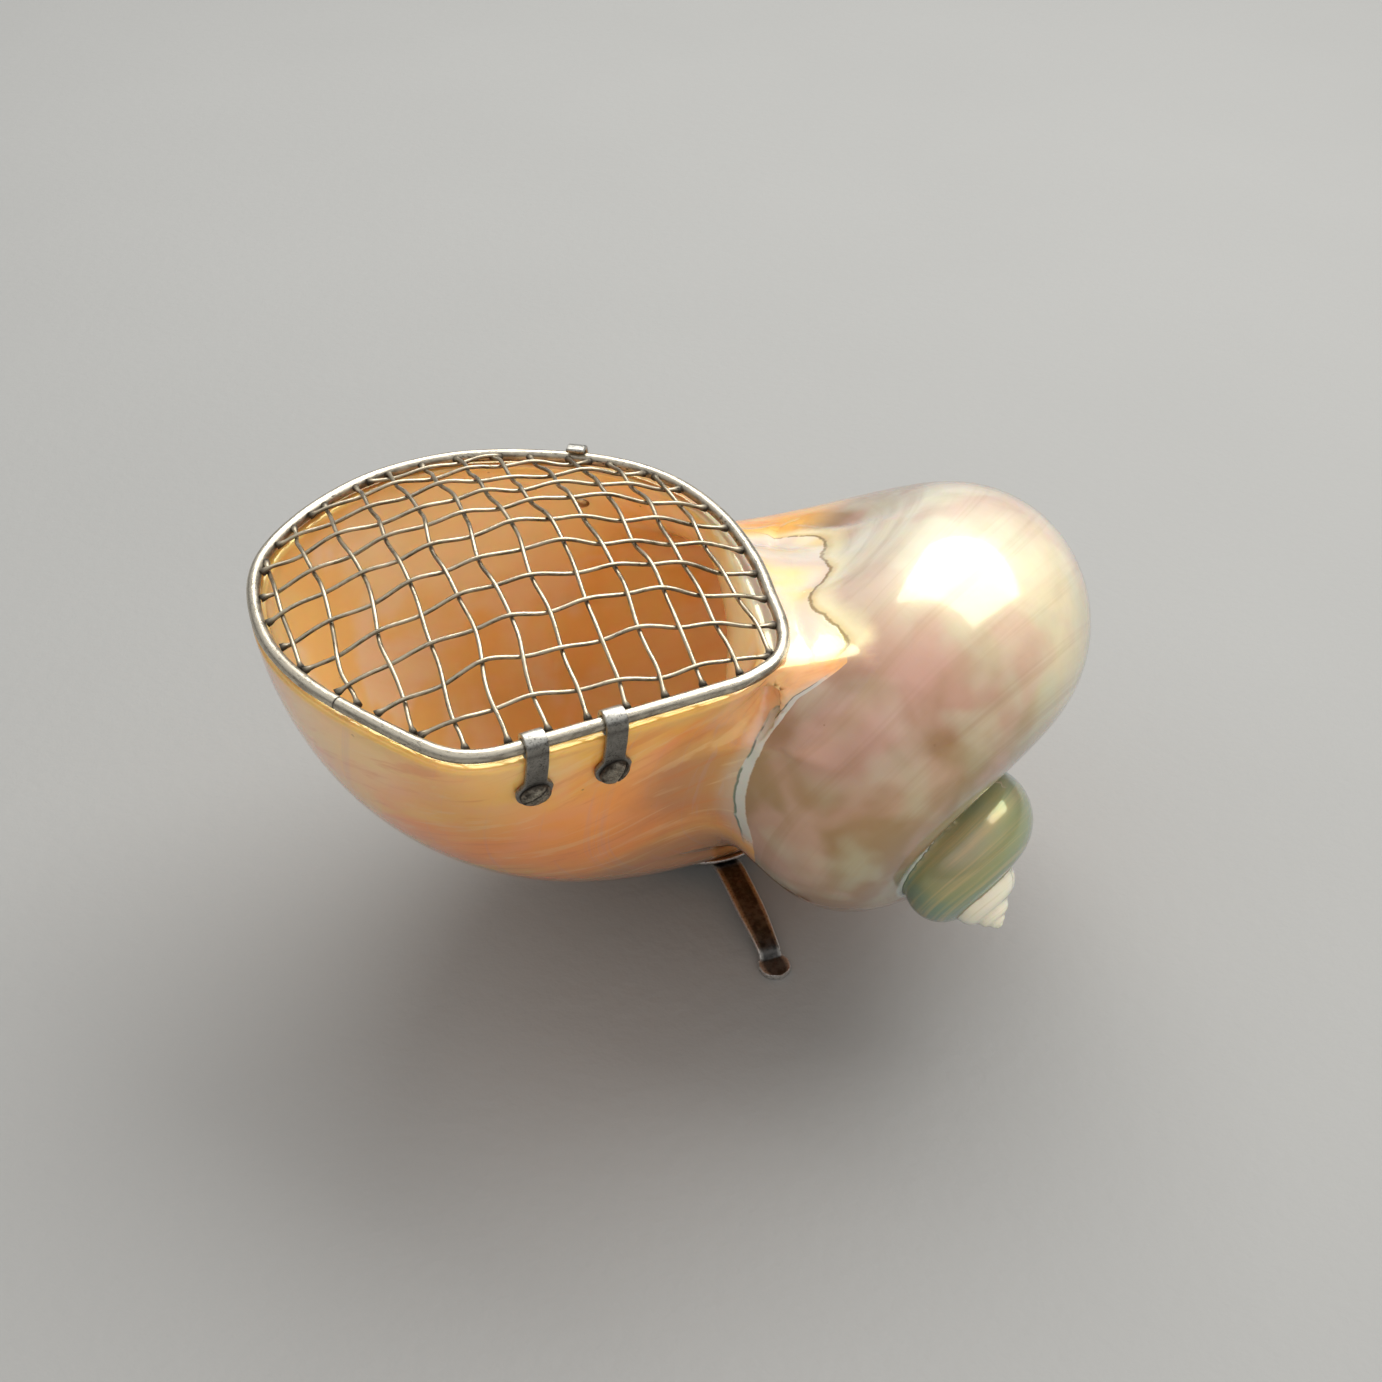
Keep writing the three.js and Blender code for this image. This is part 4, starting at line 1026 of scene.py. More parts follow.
def metal_finish(look, name):
    """Old silver-coloured metal: bright where its tag marks rubbed wear or a painted highlight, flecked and
    grimy elsewhere, and darker where its tag paints shade.
    """
    found = bpy.data.materials.get(name)
    if found:
        return found
    bright, dull, dirt, roughness, shine, pits, tagged, grained = METALS[name]
    bright, dull = getattr(look, bright), getattr(look, dull)
    f = Finish(name)
    place = f.place()
    where = f.tagged("grain", "Vector") if grained else place
    mottle = f.noise(where, 0.8, 4, 0.62, 0.3)
    fleck = f.noise(where, 3.4, 3, 0.65, 0.2)
    patch = f.noise(place, 0.13, 3, 0.5, 0.2)
    scratch = f.noise(f.mapped(where, (0.4, 3, 1)), 1.6, 2, 0.6)
    colour = f.over(dull, bright, f.band(mottle, 0.36, 0.64), shine)
    dirt_and_shade_share = f.times(f.band(fleck, 0.46, 0.32), f.math("ADD", 0.35, f.band(patch, 0.45, 0.62)), dirt)
    if tagged:
        # The bright colour goes on rubbed wear and on painted highlights
        wear_and_sheen = f.tagged("wear_and_sheen")
        colour = f.over(colour, bright, wear_and_sheen, f.band(fleck, 0.3, 0.5))
        dirt_and_shade_share = f.times(dirt_and_shade_share, f.math("SUBTRACT", 1.0, f.math("MULTIPLY", wear_and_sheen, 0.7)))
        # Real dirt, and painted shade, from the piece's tag
        dirt_and_shade_share = f.math("ADD", dirt_and_shade_share, f.tagged("dirt_and_shade"))
    dirt_and_shade_share = f.math("MINIMUM", dirt_and_shade_share, 1.0)
    rough = f.added(roughness, f.band(mottle, 0.35, 0.7), 0.12)
    rough = f.added(rough, f.band(scratch, 0.55, 0.7), 0.1)
    rough = f.added(rough, dirt_and_shade_share, 0.25)
    f.bump(mottle, 0.00006 * pits)
    f.bump(fleck, 0.00003 * pits)
    metallic = f.math("SUBTRACT", 1.0, f.math("MULTIPLY", dirt_and_shade_share, 0.6))
    return f.finish(Base_Color=f.mix(dirt_and_shade_share, colour, look.dirt_and_shade), Metallic=metallic, Roughness=rough)


def floor_finish(colour):
    """Plain pale covering, with a hardly visible mottle."""
    f = Finish("floor")
    place = f.place()
    mottle = f.noise(place, 0.009, 3, 0.5)
    shade = tuple(0.93 * c for c in colour)
    f.bump(f.noise(place, 0.26, 3, 0.6), 0.0002)
    return f.finish(Base_Color=f.mix(mottle, shade, colour), Roughness=0.75)


# ---------------------------------------------------------------- sizes and looks


def length_property(name, default, description):
    return FloatProperty(
        name=name, description=description, default=default, min=0.0, unit="LENGTH", precision=5
    )


def power_property(name, default, description):
    return FloatProperty(name=name, description=description, default=default, min=0.0, unit="POWER")


def colour_property(name, default, description):
    return FloatVectorProperty(
        name=name, description=description, default=default, size=3, min=0.0, max=1.0, subtype="COLOR"
    )


class ShellBoxShell(bpy.types.PropertyGroup):
    wall: length_property("Wall", 0.0026, "Thickness of the shell")
    seam_fillet: length_property("Seam fillet", 0.0013, "How far the crease between two whorls is filled")
    lip_round: length_property("Lip rounding", 0.0009, "Rounding of the lip's edges")
    net: length_property("Net", 0.00105, "Size of the cells that the shell's surface is made from")
    orange: colour_property("Orange", (1.0, 0.35, 0.06), "Main colour of the mouth whorl")
    gold: colour_property("Gold", (1.0, 0.50, 0.08), "Its golden clouds")
    peach: colour_property("Peach", (1.0, 0.55, 0.26), "Its paler clouds")
    pink: colour_property("Pink", (0.95, 0.44, 0.26), "Its pinker clouds")
    rust: colour_property("Rust", (0.70, 0.22, 0.05), "Its darker streaks")
    # Painted shade beside the seam and low on the mouth whorl
    umber_shade: colour_property("Umber", (0.50, 0.21, 0.09), "Its darkest clouds, low down and beside the seam")
    violet: colour_property("Violet", (0.50, 0.36, 0.38), "Its finest streaks")
    cream: colour_property("Cream", (1.0, 0.74, 0.36), "Pale nacre")
    pearl: colour_property("Pearl", (0.97, 0.86, 0.66), "Palest part of the ball")
    # Main colour of the ball, darkened, and the painted shade low on its front
    tan: colour_property("Tan", (0.35, 0.20, 0.105), "Main colour of the ball")
    brown: colour_property("Brown", (0.34, 0.19, 0.09), "Streaks on the ball and the spire")
    lilac: colour_property("Lilac", (0.70, 0.43, 0.36), "Pink clouds on the ball")
    green: colour_property("Green", (0.60, 0.60, 0.42), "Green clouds on the ball")
    sea: colour_property("Sea green", (0.20, 0.25, 0.17), "The spire's green")
    moss: colour_property("Moss", (0.27, 0.27, 0.14), "The spire's warmer green")
    straw: colour_property("Straw", (0.46, 0.36, 0.18), "The spire's gold")
    ivory: colour_property("Ivory", (0.82, 0.75, 0.60), "The tip")
    saddle: colour_property("Saddle", (0.88, 0.69, 0.55), "Smooth nacre beside the mouth")
    halo: colour_property("Halo", (0.95, 0.80, 0.50), "Cream beside the saddle's edge")
    lip: colour_property("Lip", (0.82, 0.52, 0.15), "Translucent yellow of the lip")
    chalk: colour_property("Chalk", (0.60, 0.60, 0.54), "Band along the seams")
    thread: colour_property("Thread", (0.07, 0.10, 0.06), "Dark line in the seams")
    dark_line: colour_property("Dark line", (0.33, 0.21, 0.09), "Scalloped edge of the saddle")
    stain: colour_property("Stain", (0.66, 0.45, 0.17), "Brownish yellow beside that edge")
    speck: colour_property("Speck", (0.22, 0.13, 0.05), "Small marks")
    bowl: colour_property("Bowl", (1.0, 0.72, 0.48), "Main colour inside")
    bowl_gold: colour_property("Bowl gold", (1.0, 0.62, 0.24), "Golden clouds inside")
    bowl_deep: colour_property("Bowl deep", (1.0, 0.55, 0.24), "Darker streaks inside")


class ShellBoxMetal(bpy.types.PropertyGroup):
    hoop_wire: length_property("Hoop wire", 0.0021, "Diameter of the hoop's wire")
    mesh_wire: length_property("Mesh wire", 0.0007, "Diameter of the lid's wires")
    wander: length_property("Wander", 0.0005, "How far the wires are bent out of line by hand")
    strap_width: length_property("Strap width", 0.0034, "Width of the hinge straps")
    strap_thickness: length_property("Strap thickness", 0.0008, "Thickness of the straps and the clip")
    screw_head: length_property("Screw head", 0.0047, "Diameter of the screws' heads")
    leg_width: length_property("Leg width", 0.0054, "Width of the legs")
    # Also the painted highlight along the hoop's top
    hoop_bright: colour_property("Hoop, bright", (0.66, 0.59, 0.47), "Rubbed metal on the hoop")
    hoop_dull: colour_property("Hoop, dull", (0.30, 0.26, 0.20), "Tarnished metal on the hoop")
    # Also the painted highlight along the wires' tops
    mesh_bright: colour_property("Mesh, bright", (0.56, 0.48, 0.35), "Rubbed metal on the wires")
    mesh_dull: colour_property("Mesh, dull", (0.12, 0.095, 0.06), "Tarnished metal on the wires")
    # Also the painted highlight on the rolls and edges of the straps and clip
    strap_bright: colour_property("Strap, bright", (0.50, 0.48, 0.43), "Rubbed metal on the straps")
    strap_dull: colour_property("Strap, dull", (0.09, 0.082, 0.072), "Tarnished metal on the straps")
    # The painted highlight on the legs' edges and toe rims
    leg_bright: colour_property("Leg, bright", (0.74, 0.70, 0.65), "Rubbed edges of the legs")
    leg_dull: colour_property("Leg, dull", (0.062, 0.060, 0.060), "Dark metal of the legs")
    # Dirt in pits, and the painted shade in corners, slots and on undersides
    dirt_and_shade: colour_property("Grime", (0.035, 0.026, 0.018), "Dirt in pits and corners")


class ShellBoxStage(bpy.types.PropertyGroup):
    floor_width: length_property("Floor width", 8.0, "Side of the square floor")
    floor_colour: colour_property("Floor", (0.31, 0.307, 0.297), "Colour of the floor")
    backdrop_colour: colour_property("Backdrop", (0.78, 0.77, 0.74), "Colour seen beyond the floor")
    world_light: FloatProperty(name="Surroundings", description="Light from all round", default=0.8, min=0.0)
    window_power: power_property("Window", 12.5, "Light from behind, to the right")
    fill_power: power_property("Fill", 5.5, "Light from in front, low down")
    lens: FloatProperty(name="Lens", description="Camera's lens", default=50.0, min=1.0, unit="CAMERA")
    seed: IntProperty(name="Seed", description="Number that the small irregularities start from", default=7)


# ---------------------------------------------------------------- operators


class OBJECT_OT_shell_box_shell(bpy.types.Operator):
    """Make the turban shell with its open mouth and its saddle"""

    bl_idname = "object.shell_box_shell"
    bl_label = "Shell"
    bl_options = {"REGISTER", "UNDO"}

    def execute(self, context):
        look = context.scene.shell_box_shell
        wall, fillet, lip_round, net = (
            size / MM for size in (look.wall, look.seam_fillet, look.lip_round, look.net)
        )

        def distances(points):
            return shell_distances(points, wall, fillet, lip_round)

        def distance(points):
            return distances(points)[0]

        low, high = (np.array(corner) - MOUTH_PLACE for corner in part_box("shell"))
        low, high = low / MM - NET_MARGIN, high / MM + NET_MARGIN
        fine = [[(apex - before, apex + after, FINE_NET)] for apex, (before, after) in zip(APEX, TIP_ZONE)]
        fine[2].append((*LIP_ZONE, FINE_NET))
        sides = [grid_lines(low[k], high[k], net, fine[k]) for k in range(3)]
        grid = np.stack(np.meshgrid(*sides, indexing="ij"), -1)
        values = in_chunks(distance, grid.reshape(-1, 3)).reshape(grid.shape[:3])
        points, quads = surface_net(values, sides)
        points = settled(points, distance)
        piece = add_piece("turban_shell", points, quads, nacre_finish(look), "base", "nacre", "shell")
        tag_shell(piece, points, *distances(points)[1:])
        return {"FINISHED"}


def tag_shell(piece, points, outers, hollow, callus, lip, place):
    """Keeps with each point of the shell what its finish is drawn from.

    edge_0 to edge_2 are distances from the seams, young_0 to young_2 are one on the younger side.
    edge is the distance past the saddle's scalloped edge, depth the one below the lip. low is one
    where the seam beside the mouth lies open, inside is one in the bowl, saddle on the saddle.
    """
    x, y, z = points.T
    angle = place[0]
    outers = np.array(outers)
    whorl = outers.argmin(0)
    turn = angle / 360 - whorl
    rounds = np.array([tube(place, -k)[1:] for k in range(WHORLS)])
    across, along = rounds[whorl, :, np.arange(len(points))].T
    inside = smoothstep(-np.abs(hollow), -0.5, -0.2)
    in_front = 1 - smoothstep(y, 2, 8)
    drawn = (np.interp(z, *np.array(SEAM_LINE).T) - x) / np.interp(z, *np.array(SEAM_WIDTH).T)
    rim_y, rim_x = centripetal(CALLUS_EDGE, 240).T
    rim = x - np.interp(y, rim_y, rim_x)
    beyond = smoothstep(rim, 0.0, 1.2) * smoothstep(z, -14, -8)
    beyond *= smoothstep(y, -17, -14) * smoothstep(-y, -62, -54)
    for k, change in enumerate(COLOUR_CHANGES):
        edge = outers[k + 1] - outers[k]
        if k == 0:
            edge = edge + (drawn - edge) * in_front * smoothstep(z, -64, -56)
        whose = np.where(edge > 0, np.minimum(whorl, k), np.maximum(whorl, k + 1))
        here = smoothstep(angle / 360 - whose, change - 0.12, change)
        near_seam = (whose == k + 1) & (angle < 90)
        young = np.where(near_seam, smoothstep(edge, -3.5, -2.5), here)
        if k == 0:
            young = young * (1 - beyond)
        tag(piece, f"young_{k}", np.where(whose > k + 1, 0, young))
        tag(piece, f"edge_{k}", np.where((whose == k + 1) & (angle >= 90), 9, np.clip(edge, -9, 9)))
    saddle = smoothstep(y, -16, -12.5) * smoothstep(-y, -41, -36) * smoothstep(z, -21, -15) * (1 - inside)
    saddle *= smoothstep(x, 22, 32) * smoothstep(-callus, -7.0, -4.5)
    reach = np.hypot(x, y) / hoop_reach(np.arctan2(y, x))
    off_lip = np.max((smoothstep(reach, 1.07, 1.13), saddle, smoothstep(x, 32, 40)), 0)
    for name, values in (
        ("grain", np.stack((across, along, turn * 6), 1)), ("inside", inside), ("edge", rim),
        ("saddle", saddle), ("low", smoothstep(-z, 3.0, 5.0) * (1 - smoothstep(-z, 33, 38) * in_front)),
        ("depth", -lip + 30 * off_lip),
    ):
        tag(piece, name, values)


class OBJECT_OT_shell_box_hoop(bpy.types.Operator):
    """Make the lid's hoop, bent from one wire whose ends meet on the left"""

    bl_idname = "object.shell_box_hoop"
    bl_label = "Hoop"
    bl_options = {"REGISTER", "UNDO"}

    def execute(self, context):
        look = context.scene.shell_box_metal
        finish = metal_finish(look, "hoop_wear_sheen_and_shade")
        half = look.hoop_wire / MM / 2
        path = np.column_stack((HOOP_LOOP, np.zeros(len(HOOP_LOOP))))
        joint = np.linalg.norm(path[:, :2] - np.array(HOOP_JOINT), axis=1).argmin()
        path = np.roll(path, -joint, axis=0)
        shares = np.array((0.2, 0.5, 0.8))[:, None]
        start = path[0] + (path[1] - path[0]) * shares
        end = path[-1] + (path[0] - path[-1]) * shares
        path = np.vstack((path[:1], start, path[1:], end))
        random = np.random.default_rng(context.scene.shell_box_stage.seed)
        dents = blurred(random.normal(size=len(path)), 5) * 0.05
        radii = half * (1 + np.clip(dents, -0.03, 0.03))
        step = np.linalg.norm(path[1] - path[0])
        away = lengths_along(path)
        away = np.minimum(away, away[-1] + step - away)
        radii *= 1 - 0.22 * (1 - smoothstep(away, 0.02, 0.22))
        points, faces = skin(rod(path, radii, HOOP_SIDES, closed=True), closed=True)
        piece = add_solid("rim_hoop", points, faces, finish, "lid", "hoop", "hoop")
        high = (points[:, 2] / half + 1) / 2
        outer = np.hypot(points[:, 0], points[:, 1]) - hoop_reach(np.arctan2(points[:, 1], points[:, 0]))
        inner = smoothstep(-outer, 0.2, 1.0)
        # Painted highlight along the top, fainter on the inner side
        tag(piece, "wear_and_sheen", smoothstep(high, 0.55, 0.85) * (1 - inner * 0.8))
        crack = np.repeat(1 - smoothstep(away, 0.05, 0.25), HOOP_SIDES)
        tag(piece, "grain", wire_grain(path, half, HOOP_SIDES))
        # Painted shade on the underside and inner side, and dirt in the crack at the joint
        tag(piece, "dirt_and_shade", np.clip(smoothstep(-high, -0.35, -0.1) * 0.7 + inner * 0.35 + crack, 0, 1))
        return {"FINISHED"}


def dome_height(x, y):
    """Height of the lid's dome above the hoop's plane."""
    share = np.hypot(x, y) / hoop_reach(np.arctan2(y, x), CORNER_REACH)
    return DOME_HEIGHT * np.maximum(1 - share**2, 0) ** DOME_POWER


def hand_bent(x, y, amount):
    """How far hands have pushed the mesh out of line at a place, along X and Y, and up."""
    dx = np.sin(x / 5.1 + 1.3 * np.sin(y / 7.7)) * np.cos(y / 6.3 + 0.8) + 0.6 * np.sin(y / 3.9 + x / 9.0)
    dy = np.cos(x / 6.7 + 0.5) * np.sin(y / 4.7 + 1.1 * np.sin(x / 8.3)) + 0.6 * np.cos(x / 4.3 - y / 8.0)
    dz = np.sin(x / 4.6 + y / 5.8) * np.cos(x / 7.9 - y / 4.1)
    return amount * dx, amount * dy, 0.7 * amount * dz


class OBJECT_OT_shell_box_mesh(bpy.types.Operator):
    """Make the lid's woven wires, each one soldered to the hoop at both ends"""

    bl_idname = "object.shell_box_mesh"
    bl_label = "Woven wires"
    bl_options = {"REGISTER", "UNDO"}

    def wire(self, look, number, start, along, cross_first, cross_step, cross_along, sign):
        """Points and radii of one crimped wire, or nothing where it would be too short."""
        hoop, wire = look.hoop_wire / MM / 2, look.mesh_wire / MM / 2
        places = (np.arange(401) - 200) * MOUTH_LENGTH / 200
        line = start + along * places[:, None]
        reach = hoop_reach(np.arctan2(line[:, 1], line[:, 0]), CORNER_REACH)
        places = places[np.hypot(line[:, 0], line[:, 1]) < reach - hoop - SOLDER_GAP]
        if len(places) < 2 or places[-1] - places[0] < SHORTEST_WIRE:
            return None
        low, high = places[0], places[-1]
        crossings = []
        for k in range(-MOST_WIRES, MOST_WIRES + 1):
            gap = cross_first + cross_step * k - start
            t = (gap[0] * cross_along[1] - gap[1] * cross_along[0]) / (
                along[0] * cross_along[1] - along[1] * cross_along[0]
            )
            if low - 2 * wire < t < high + 2 * wire:
                crossings.append((t, sign * (1 if (k + number) % 2 == 0 else -1)))
        crossings.sort()
        ends = [end_on_hoop(start, along, edge, side, hoop) for edge, side in ((low, -1), (high, 1))]
        knots = [(t, over) for t, over in crossings if ends[0] + 0.8 < t < ends[1] - 0.8]
        knots = [(ends[0], 0)] + knots + [(ends[1], 0)]
        t = np.linspace(ends[0], ends[1], int((ends[1] - ends[0]) / 0.55) + 2)
        at = np.array([knot[0] for knot in knots])
        over = np.array([knot[1] for knot in knots], float)
        k = np.clip(np.searchsorted(at, t, side="right") - 1, 0, len(at) - 2)
        share = (t - at[k]) / (at[k + 1] - at[k])
        ease = 0.5 - 0.5 * np.cos(np.pi * share)
        crimp = over[k] + (over[k + 1] - over[k]) * ease
        xy = start + along * t[:, None]
        from_end = np.minimum(t - ends[0], ends[1] - t)
        free = smoothstep(from_end, 0.5, 7.0)
        dx, dy, dz = hand_bent(xy[:, 0], xy[:, 1], look.wander / MM)
        z = dome_height(xy[:, 0], xy[:, 1]) + crimp * (wire + WEAVE_GAP / 4) + dz * free
        path = np.column_stack((xy[:, 0] + dx * free, xy[:, 1] + dy * free, z))
        solder = 1 - smoothstep(from_end, 0.1, 1.5)
        return path, wire * (1 + 0.95 * solder), solder

    def execute(self, context):
        look = context.scene.shell_box_metal
        finish = metal_finish(look, "mesh_wear_sheen_and_shade")
        warp_along, weft_along = direction(WARP_ANGLE)[:2], direction(WEFT_ANGLE)[:2]
        warp_first = HINGE_START + HINGE_ALONG[:2] * WARP_START
        warp_step = HINGE_ALONG[:2] * WARP_PITCH
        across = np.array((-weft_along[1], weft_along[0]))
        weft_first, weft_step = across * WEFT_START, across * WEFT_PITCH
        sets = (
            ("warp", (warp_first, warp_step, warp_along), (weft_first, weft_step, weft_along), 1),
            ("weft", (weft_first, weft_step, weft_along), (warp_first, warp_step, warp_along), -1),
        )
        for name, (first, step, along), cross, sign in sets:
            numbers = range(-MOST_WIRES, MOST_WIRES + 1)
            made = (self.wire(look, k, first + step * k, along, *cross, sign) for k in numbers)
            for count, (path, radii, solder) in enumerate(filter(None, made), 1):
                points, faces = skin(rod(path, radii, WIRE_SIDES))
                piece = add_solid(
                    f"{name}_wire_{count:02d}", points, faces, finish, "lid", "mesh", f"{name}_{count:02d}"
                )
                low = np.tile(np.sin(around(WIRE_SIDES)), len(path))
                solder = np.repeat(solder, WIRE_SIDES)
                grain = wire_grain(path, look.mesh_wire / MM, WIRE_SIDES)
                tag(piece, "grain", grain + (40.0 * count, 0, 0))
                # Painted highlight along each wire's top, none at the soldered ends
                tag(piece, "wear_and_sheen", smoothstep(-low, 0.3, 0.9) * (1 - solder))
                # Dirt at the soldered ends, and painted shade along each wire's underside
                tag(piece, "dirt_and_shade", np.clip(solder * 0.9 + smoothstep(low, -0.4, 0.45) * 0.85, 0, 1))
        return {"FINISHED"}


def end_on_hoop(start, along, edge, side, hoop_radius):
    """Where a wire going outwards reaches the hoop's inner side, counted along the wire."""
    t = edge + np.linspace(0, 6, 121) * side
    line = start + along * t[:, None]
    off = np.min(np.linalg.norm(line[:, None] - HOOP_LOOP[None], axis=2), axis=1)
    touching = np.argmax(off < hoop_radius + 0.1)
    return t[touching] if off.min() < hoop_radius + 0.1 else edge


def wall_normal(point, step=0.05):
    probes = np.vstack((point + np.eye(3) * step, point - np.eye(3) * step))
    values = wall_distance(probes)
    return unit(values[:3] - values[3:])


def wall_spot(near, out):
    """The spot on the shell's wall that lies out from a point near it, and the wall's normal there."""
    start = near - out * PROBE_BACK
    spot = start + out * line_crossing(wall_distance, start, out, 0, PROBE_REACH)[0]
    return spot, wall_normal(spot)


def wall_depth(spot, normal, wall):
    """How deep the shell's inner side lies below a spot on its outer one."""
    def inner_distance(points):
        return wall_distance(points, wall)

    return line_crossing(inner_distance, spot, -normal, 0.5 * wall, 2.5 * wall)[0]


def leaf_line(origin, out, depths, thickness):
    """Side view of a strap on the wall: how far out its middle lies at some depths."""
    line = []
    for depth in depths:
        spot, normal = wall_spot(origin - UP * depth, out)
        middle = spot + normal * (GAP + thickness / 2) - origin
        line.append((middle @ out, middle[2]))
    return line


def side_view(line, origin, out):
    """Points of a line that is given as distances out from an origin and heights above it."""
    line = np.asarray(line, float)
    return origin + line[:, :1] * out + line[:, 1:] * UP


def arc(radius, start, end, steps):
    """Points of an arc in a side view, its ends in degrees."""
    turn = np.radians(np.linspace(start, end, steps + 1))
    return np.stack((radius * np.cos(turn), radius * np.sin(turn)), 1).tolist()


def strap_edge_sheen(piece, path, side, widths):
    """Each point of a strap, and the share along its edges that gets a painted highlight."""
    points = np.empty(len(piece.data.vertices) * 3)
    piece.data.vertices.foreach_get("co", points)
    points = (points.reshape(-1, 3) - MOUTH_PLACE) / MM
    nearest = np.argmin(np.linalg.norm(points[:, None] - path[None], axis=2), axis=1)
    off = np.abs((points - path[nearest]) @ side) / np.maximum(widths[nearest] / 2, 0.2)
    return points, smoothstep(off, 0.78, 0.93)


def strap_with_eye(line, spot, origin, out, width, thickness):
    """Line and widths of a strap that runs from its upper end down to a round eye at a screw."""
    upper = side_view(bent(line[::-1], 0.22), origin, out)
    place, normal = spot
    centre = place + normal * (GAP + thickness / 2)
    stop = np.argmax(np.linalg.norm(upper - centre, axis=1) < EYE_RADIUS)
    lead = np.vstack((upper[:stop], centre))
    return paddle(evenly(lead, int(len(lead) * 1.5)), centre, width, EYE_RADIUS, 0.4)


def screw_body(radius, height, shank, length, slot, random):
    """Domed and battered screw head with a slot, on its shank: points made about Z and their faces."""
    width, depth, off = slot
    sides, rings = 120, 36
    share = np.linspace(0, 1, rings + 1)[1:, None]
    turn = around(sides)
    x, y = radius * share * np.cos(turn), radius * share * np.sin(turn)
    z = height * (0.3 + 0.7 * np.sqrt(1 - 0.98 * share**2)) * np.ones(sides)
    for _ in range(14):
        wave, phase = random.normal(size=2) * 2.4, random.uniform(0, 2 * np.pi)
        z = z + 0.018 * height * np.sin(wave[0] * x + wave[1] * y + phase) * (1 - share**4)
    groove = 1 - smoothstep(np.abs(y - off), width / 2 - 0.08, width / 2 + 0.05)
    z = z * (1 - groove) + np.minimum(z, height - depth) * groove
    head = np.stack((x, y, z), -1)
    rim = radius * (1 + 0.012 * np.sin(3 * turn + 1) + 0.01 * np.sin(7 * turn))
    rings = [
        np.stack((reach * np.cos(turn), reach * np.sin(turn), np.full(sides, level)), -1)
        for reach, level in ((rim, 0.1 * height), (0.93 * rim, 0.0), (shank, 0.0), (shank, -length))
    ]
    points, faces = skin(np.concatenate((head, rings)))
    faces = [face for face in faces if len(face) == 4] + [faces[-1]]
    middle = len(points)
    points = np.vstack((points, (0, 0, z[0].mean())))
    faces += [(middle, k, (k + 1) % sides) for k in range(sides)]
    deep = np.zeros(len(points))
    deep[:groove.size] = groove.ravel()
    return points, faces, deep


def add_screw(node, spot, normal, seat, radius, shank, length, slot, spin, finish, random):
    """A screw that stands out from a spot, with painted shade in its slot and round its foot."""
    points, faces, groove = screw_body(radius, HEAD_HEIGHT, shank, length, slot, random)
    rise = points[:, 2] / HEAD_HEIGHT
    points = stood(points, spot + normal * seat, normal, spin)
    piece = add_solid(f"{node}_worn", points, faces, finish, "base", "strap", node)
    tag(piece, "wear_and_sheen", 0.45 * smoothstep(rise, 0.6, 0.95) * (1 - groove))
    # Painted shade in the slot and round the foot of the head
    foot = 0.9 * smoothstep(-rise, -0.45, -0.1) + 0.4 * smoothstep(-rise, -0.8, -0.55)
    tag(piece, "dirt_and_shade", np.maximum(groove, foot))


def bevelled(node, finish, width):
    """A solid part whose shape is right keeps it, with its edges eased and a new finish."""
    part = frame["nodes"][node]
    part.data.materials.clear()
    part.data.materials.append(finish)
    bevel = part.modifiers.new("Eased edges", "BEVEL")
    bevel.width = width * MM
    bevel.segments = 3
    bevel.angle_limit = np.radians(35)


class OBJECT_OT_shell_box_hinges(bpy.types.Operator):
    """Make the two hinge straps, rolled over the hoop, with their screws and nuts"""

    bl_idname = "object.shell_box_hinges"
    bl_label = "Hinge straps"
    bl_options = {"REGISTER", "UNDO"}

    def execute(self, context):
        look = context.scene.shell_box_metal
        wall = context.scene.shell_box_shell.wall / MM
        thick, width = look.strap_thickness / MM, look.strap_width / MM
        random = np.random.default_rng(context.scene.shell_box_stage.seed)
        for side, place, slot, spin in HINGES:
            origin = np.append(HINGE_START, 0) + HINGE_ALONG * place
            spot = wall_spot(origin - UP * SCREW_DEPTH, HINGE_OUT)
            roll = arc(look.hoop_wire / MM / 2 + ROLL_GAP + thick / 2, 12, ROLL_END, 26)
            leaf = leaf_line(origin, HINGE_OUT, (SCREW_DEPTH, *LEAF_DEPTHS), thick)
            path, widths = strap_with_eye(leaf + roll, spot, origin, HINGE_OUT, width, thick)
            node = f"hinge_{side}"
            piece = add_solid(
                f"{node}_leaf", *strip(path, HINGE_ALONG, widths, thick), metal_finish(look, "strap_worn"),
                "base", "strap", f"{node}_strap",
            )
            points, edges = strap_edge_sheen(piece, path, HINGE_ALONG, widths)
            # Painted highlight on the roll over the hoop and along the edges
            tag(piece, "wear_and_sheen", np.maximum(smoothstep(points[:, 2], 0.4, 1.4), 0.55 * edges))
            foot = np.linalg.norm(points - spot[0], axis=1)
            # Painted shade in the crease under the roll, growing towards the screw and round its head
            dirt_and_shade = np.exp(-(((points[:, 2] + 0.9) / 0.5) ** 2)) * 0.6
            dirt_and_shade += 0.3 * smoothstep(-foot, -7, -3) + 0.4 * smoothstep(-foot, -2.9, -1.9)
            tag(piece, "dirt_and_shade", np.clip(dirt_and_shade, 0, 1))
            nut = wall_depth(*spot, wall) + FACET_RISE + SEAT_GAP + NUT_HEIGHT
            head = GAP + thick + GAP / 2
            add_screw(
                f"{node}_screw", *spot, head - HEAD_SUNK, look.screw_head / MM / 2, SHANK_RADIUS,
                head + nut + SHANK_PAST_NUT, slot, spin, metal_finish(look, "screw_worn"), random,
            )
            bevelled(f"{node}_nut", metal_finish(look, "nut_plain"), 0.15)
        return {"FINISHED"}


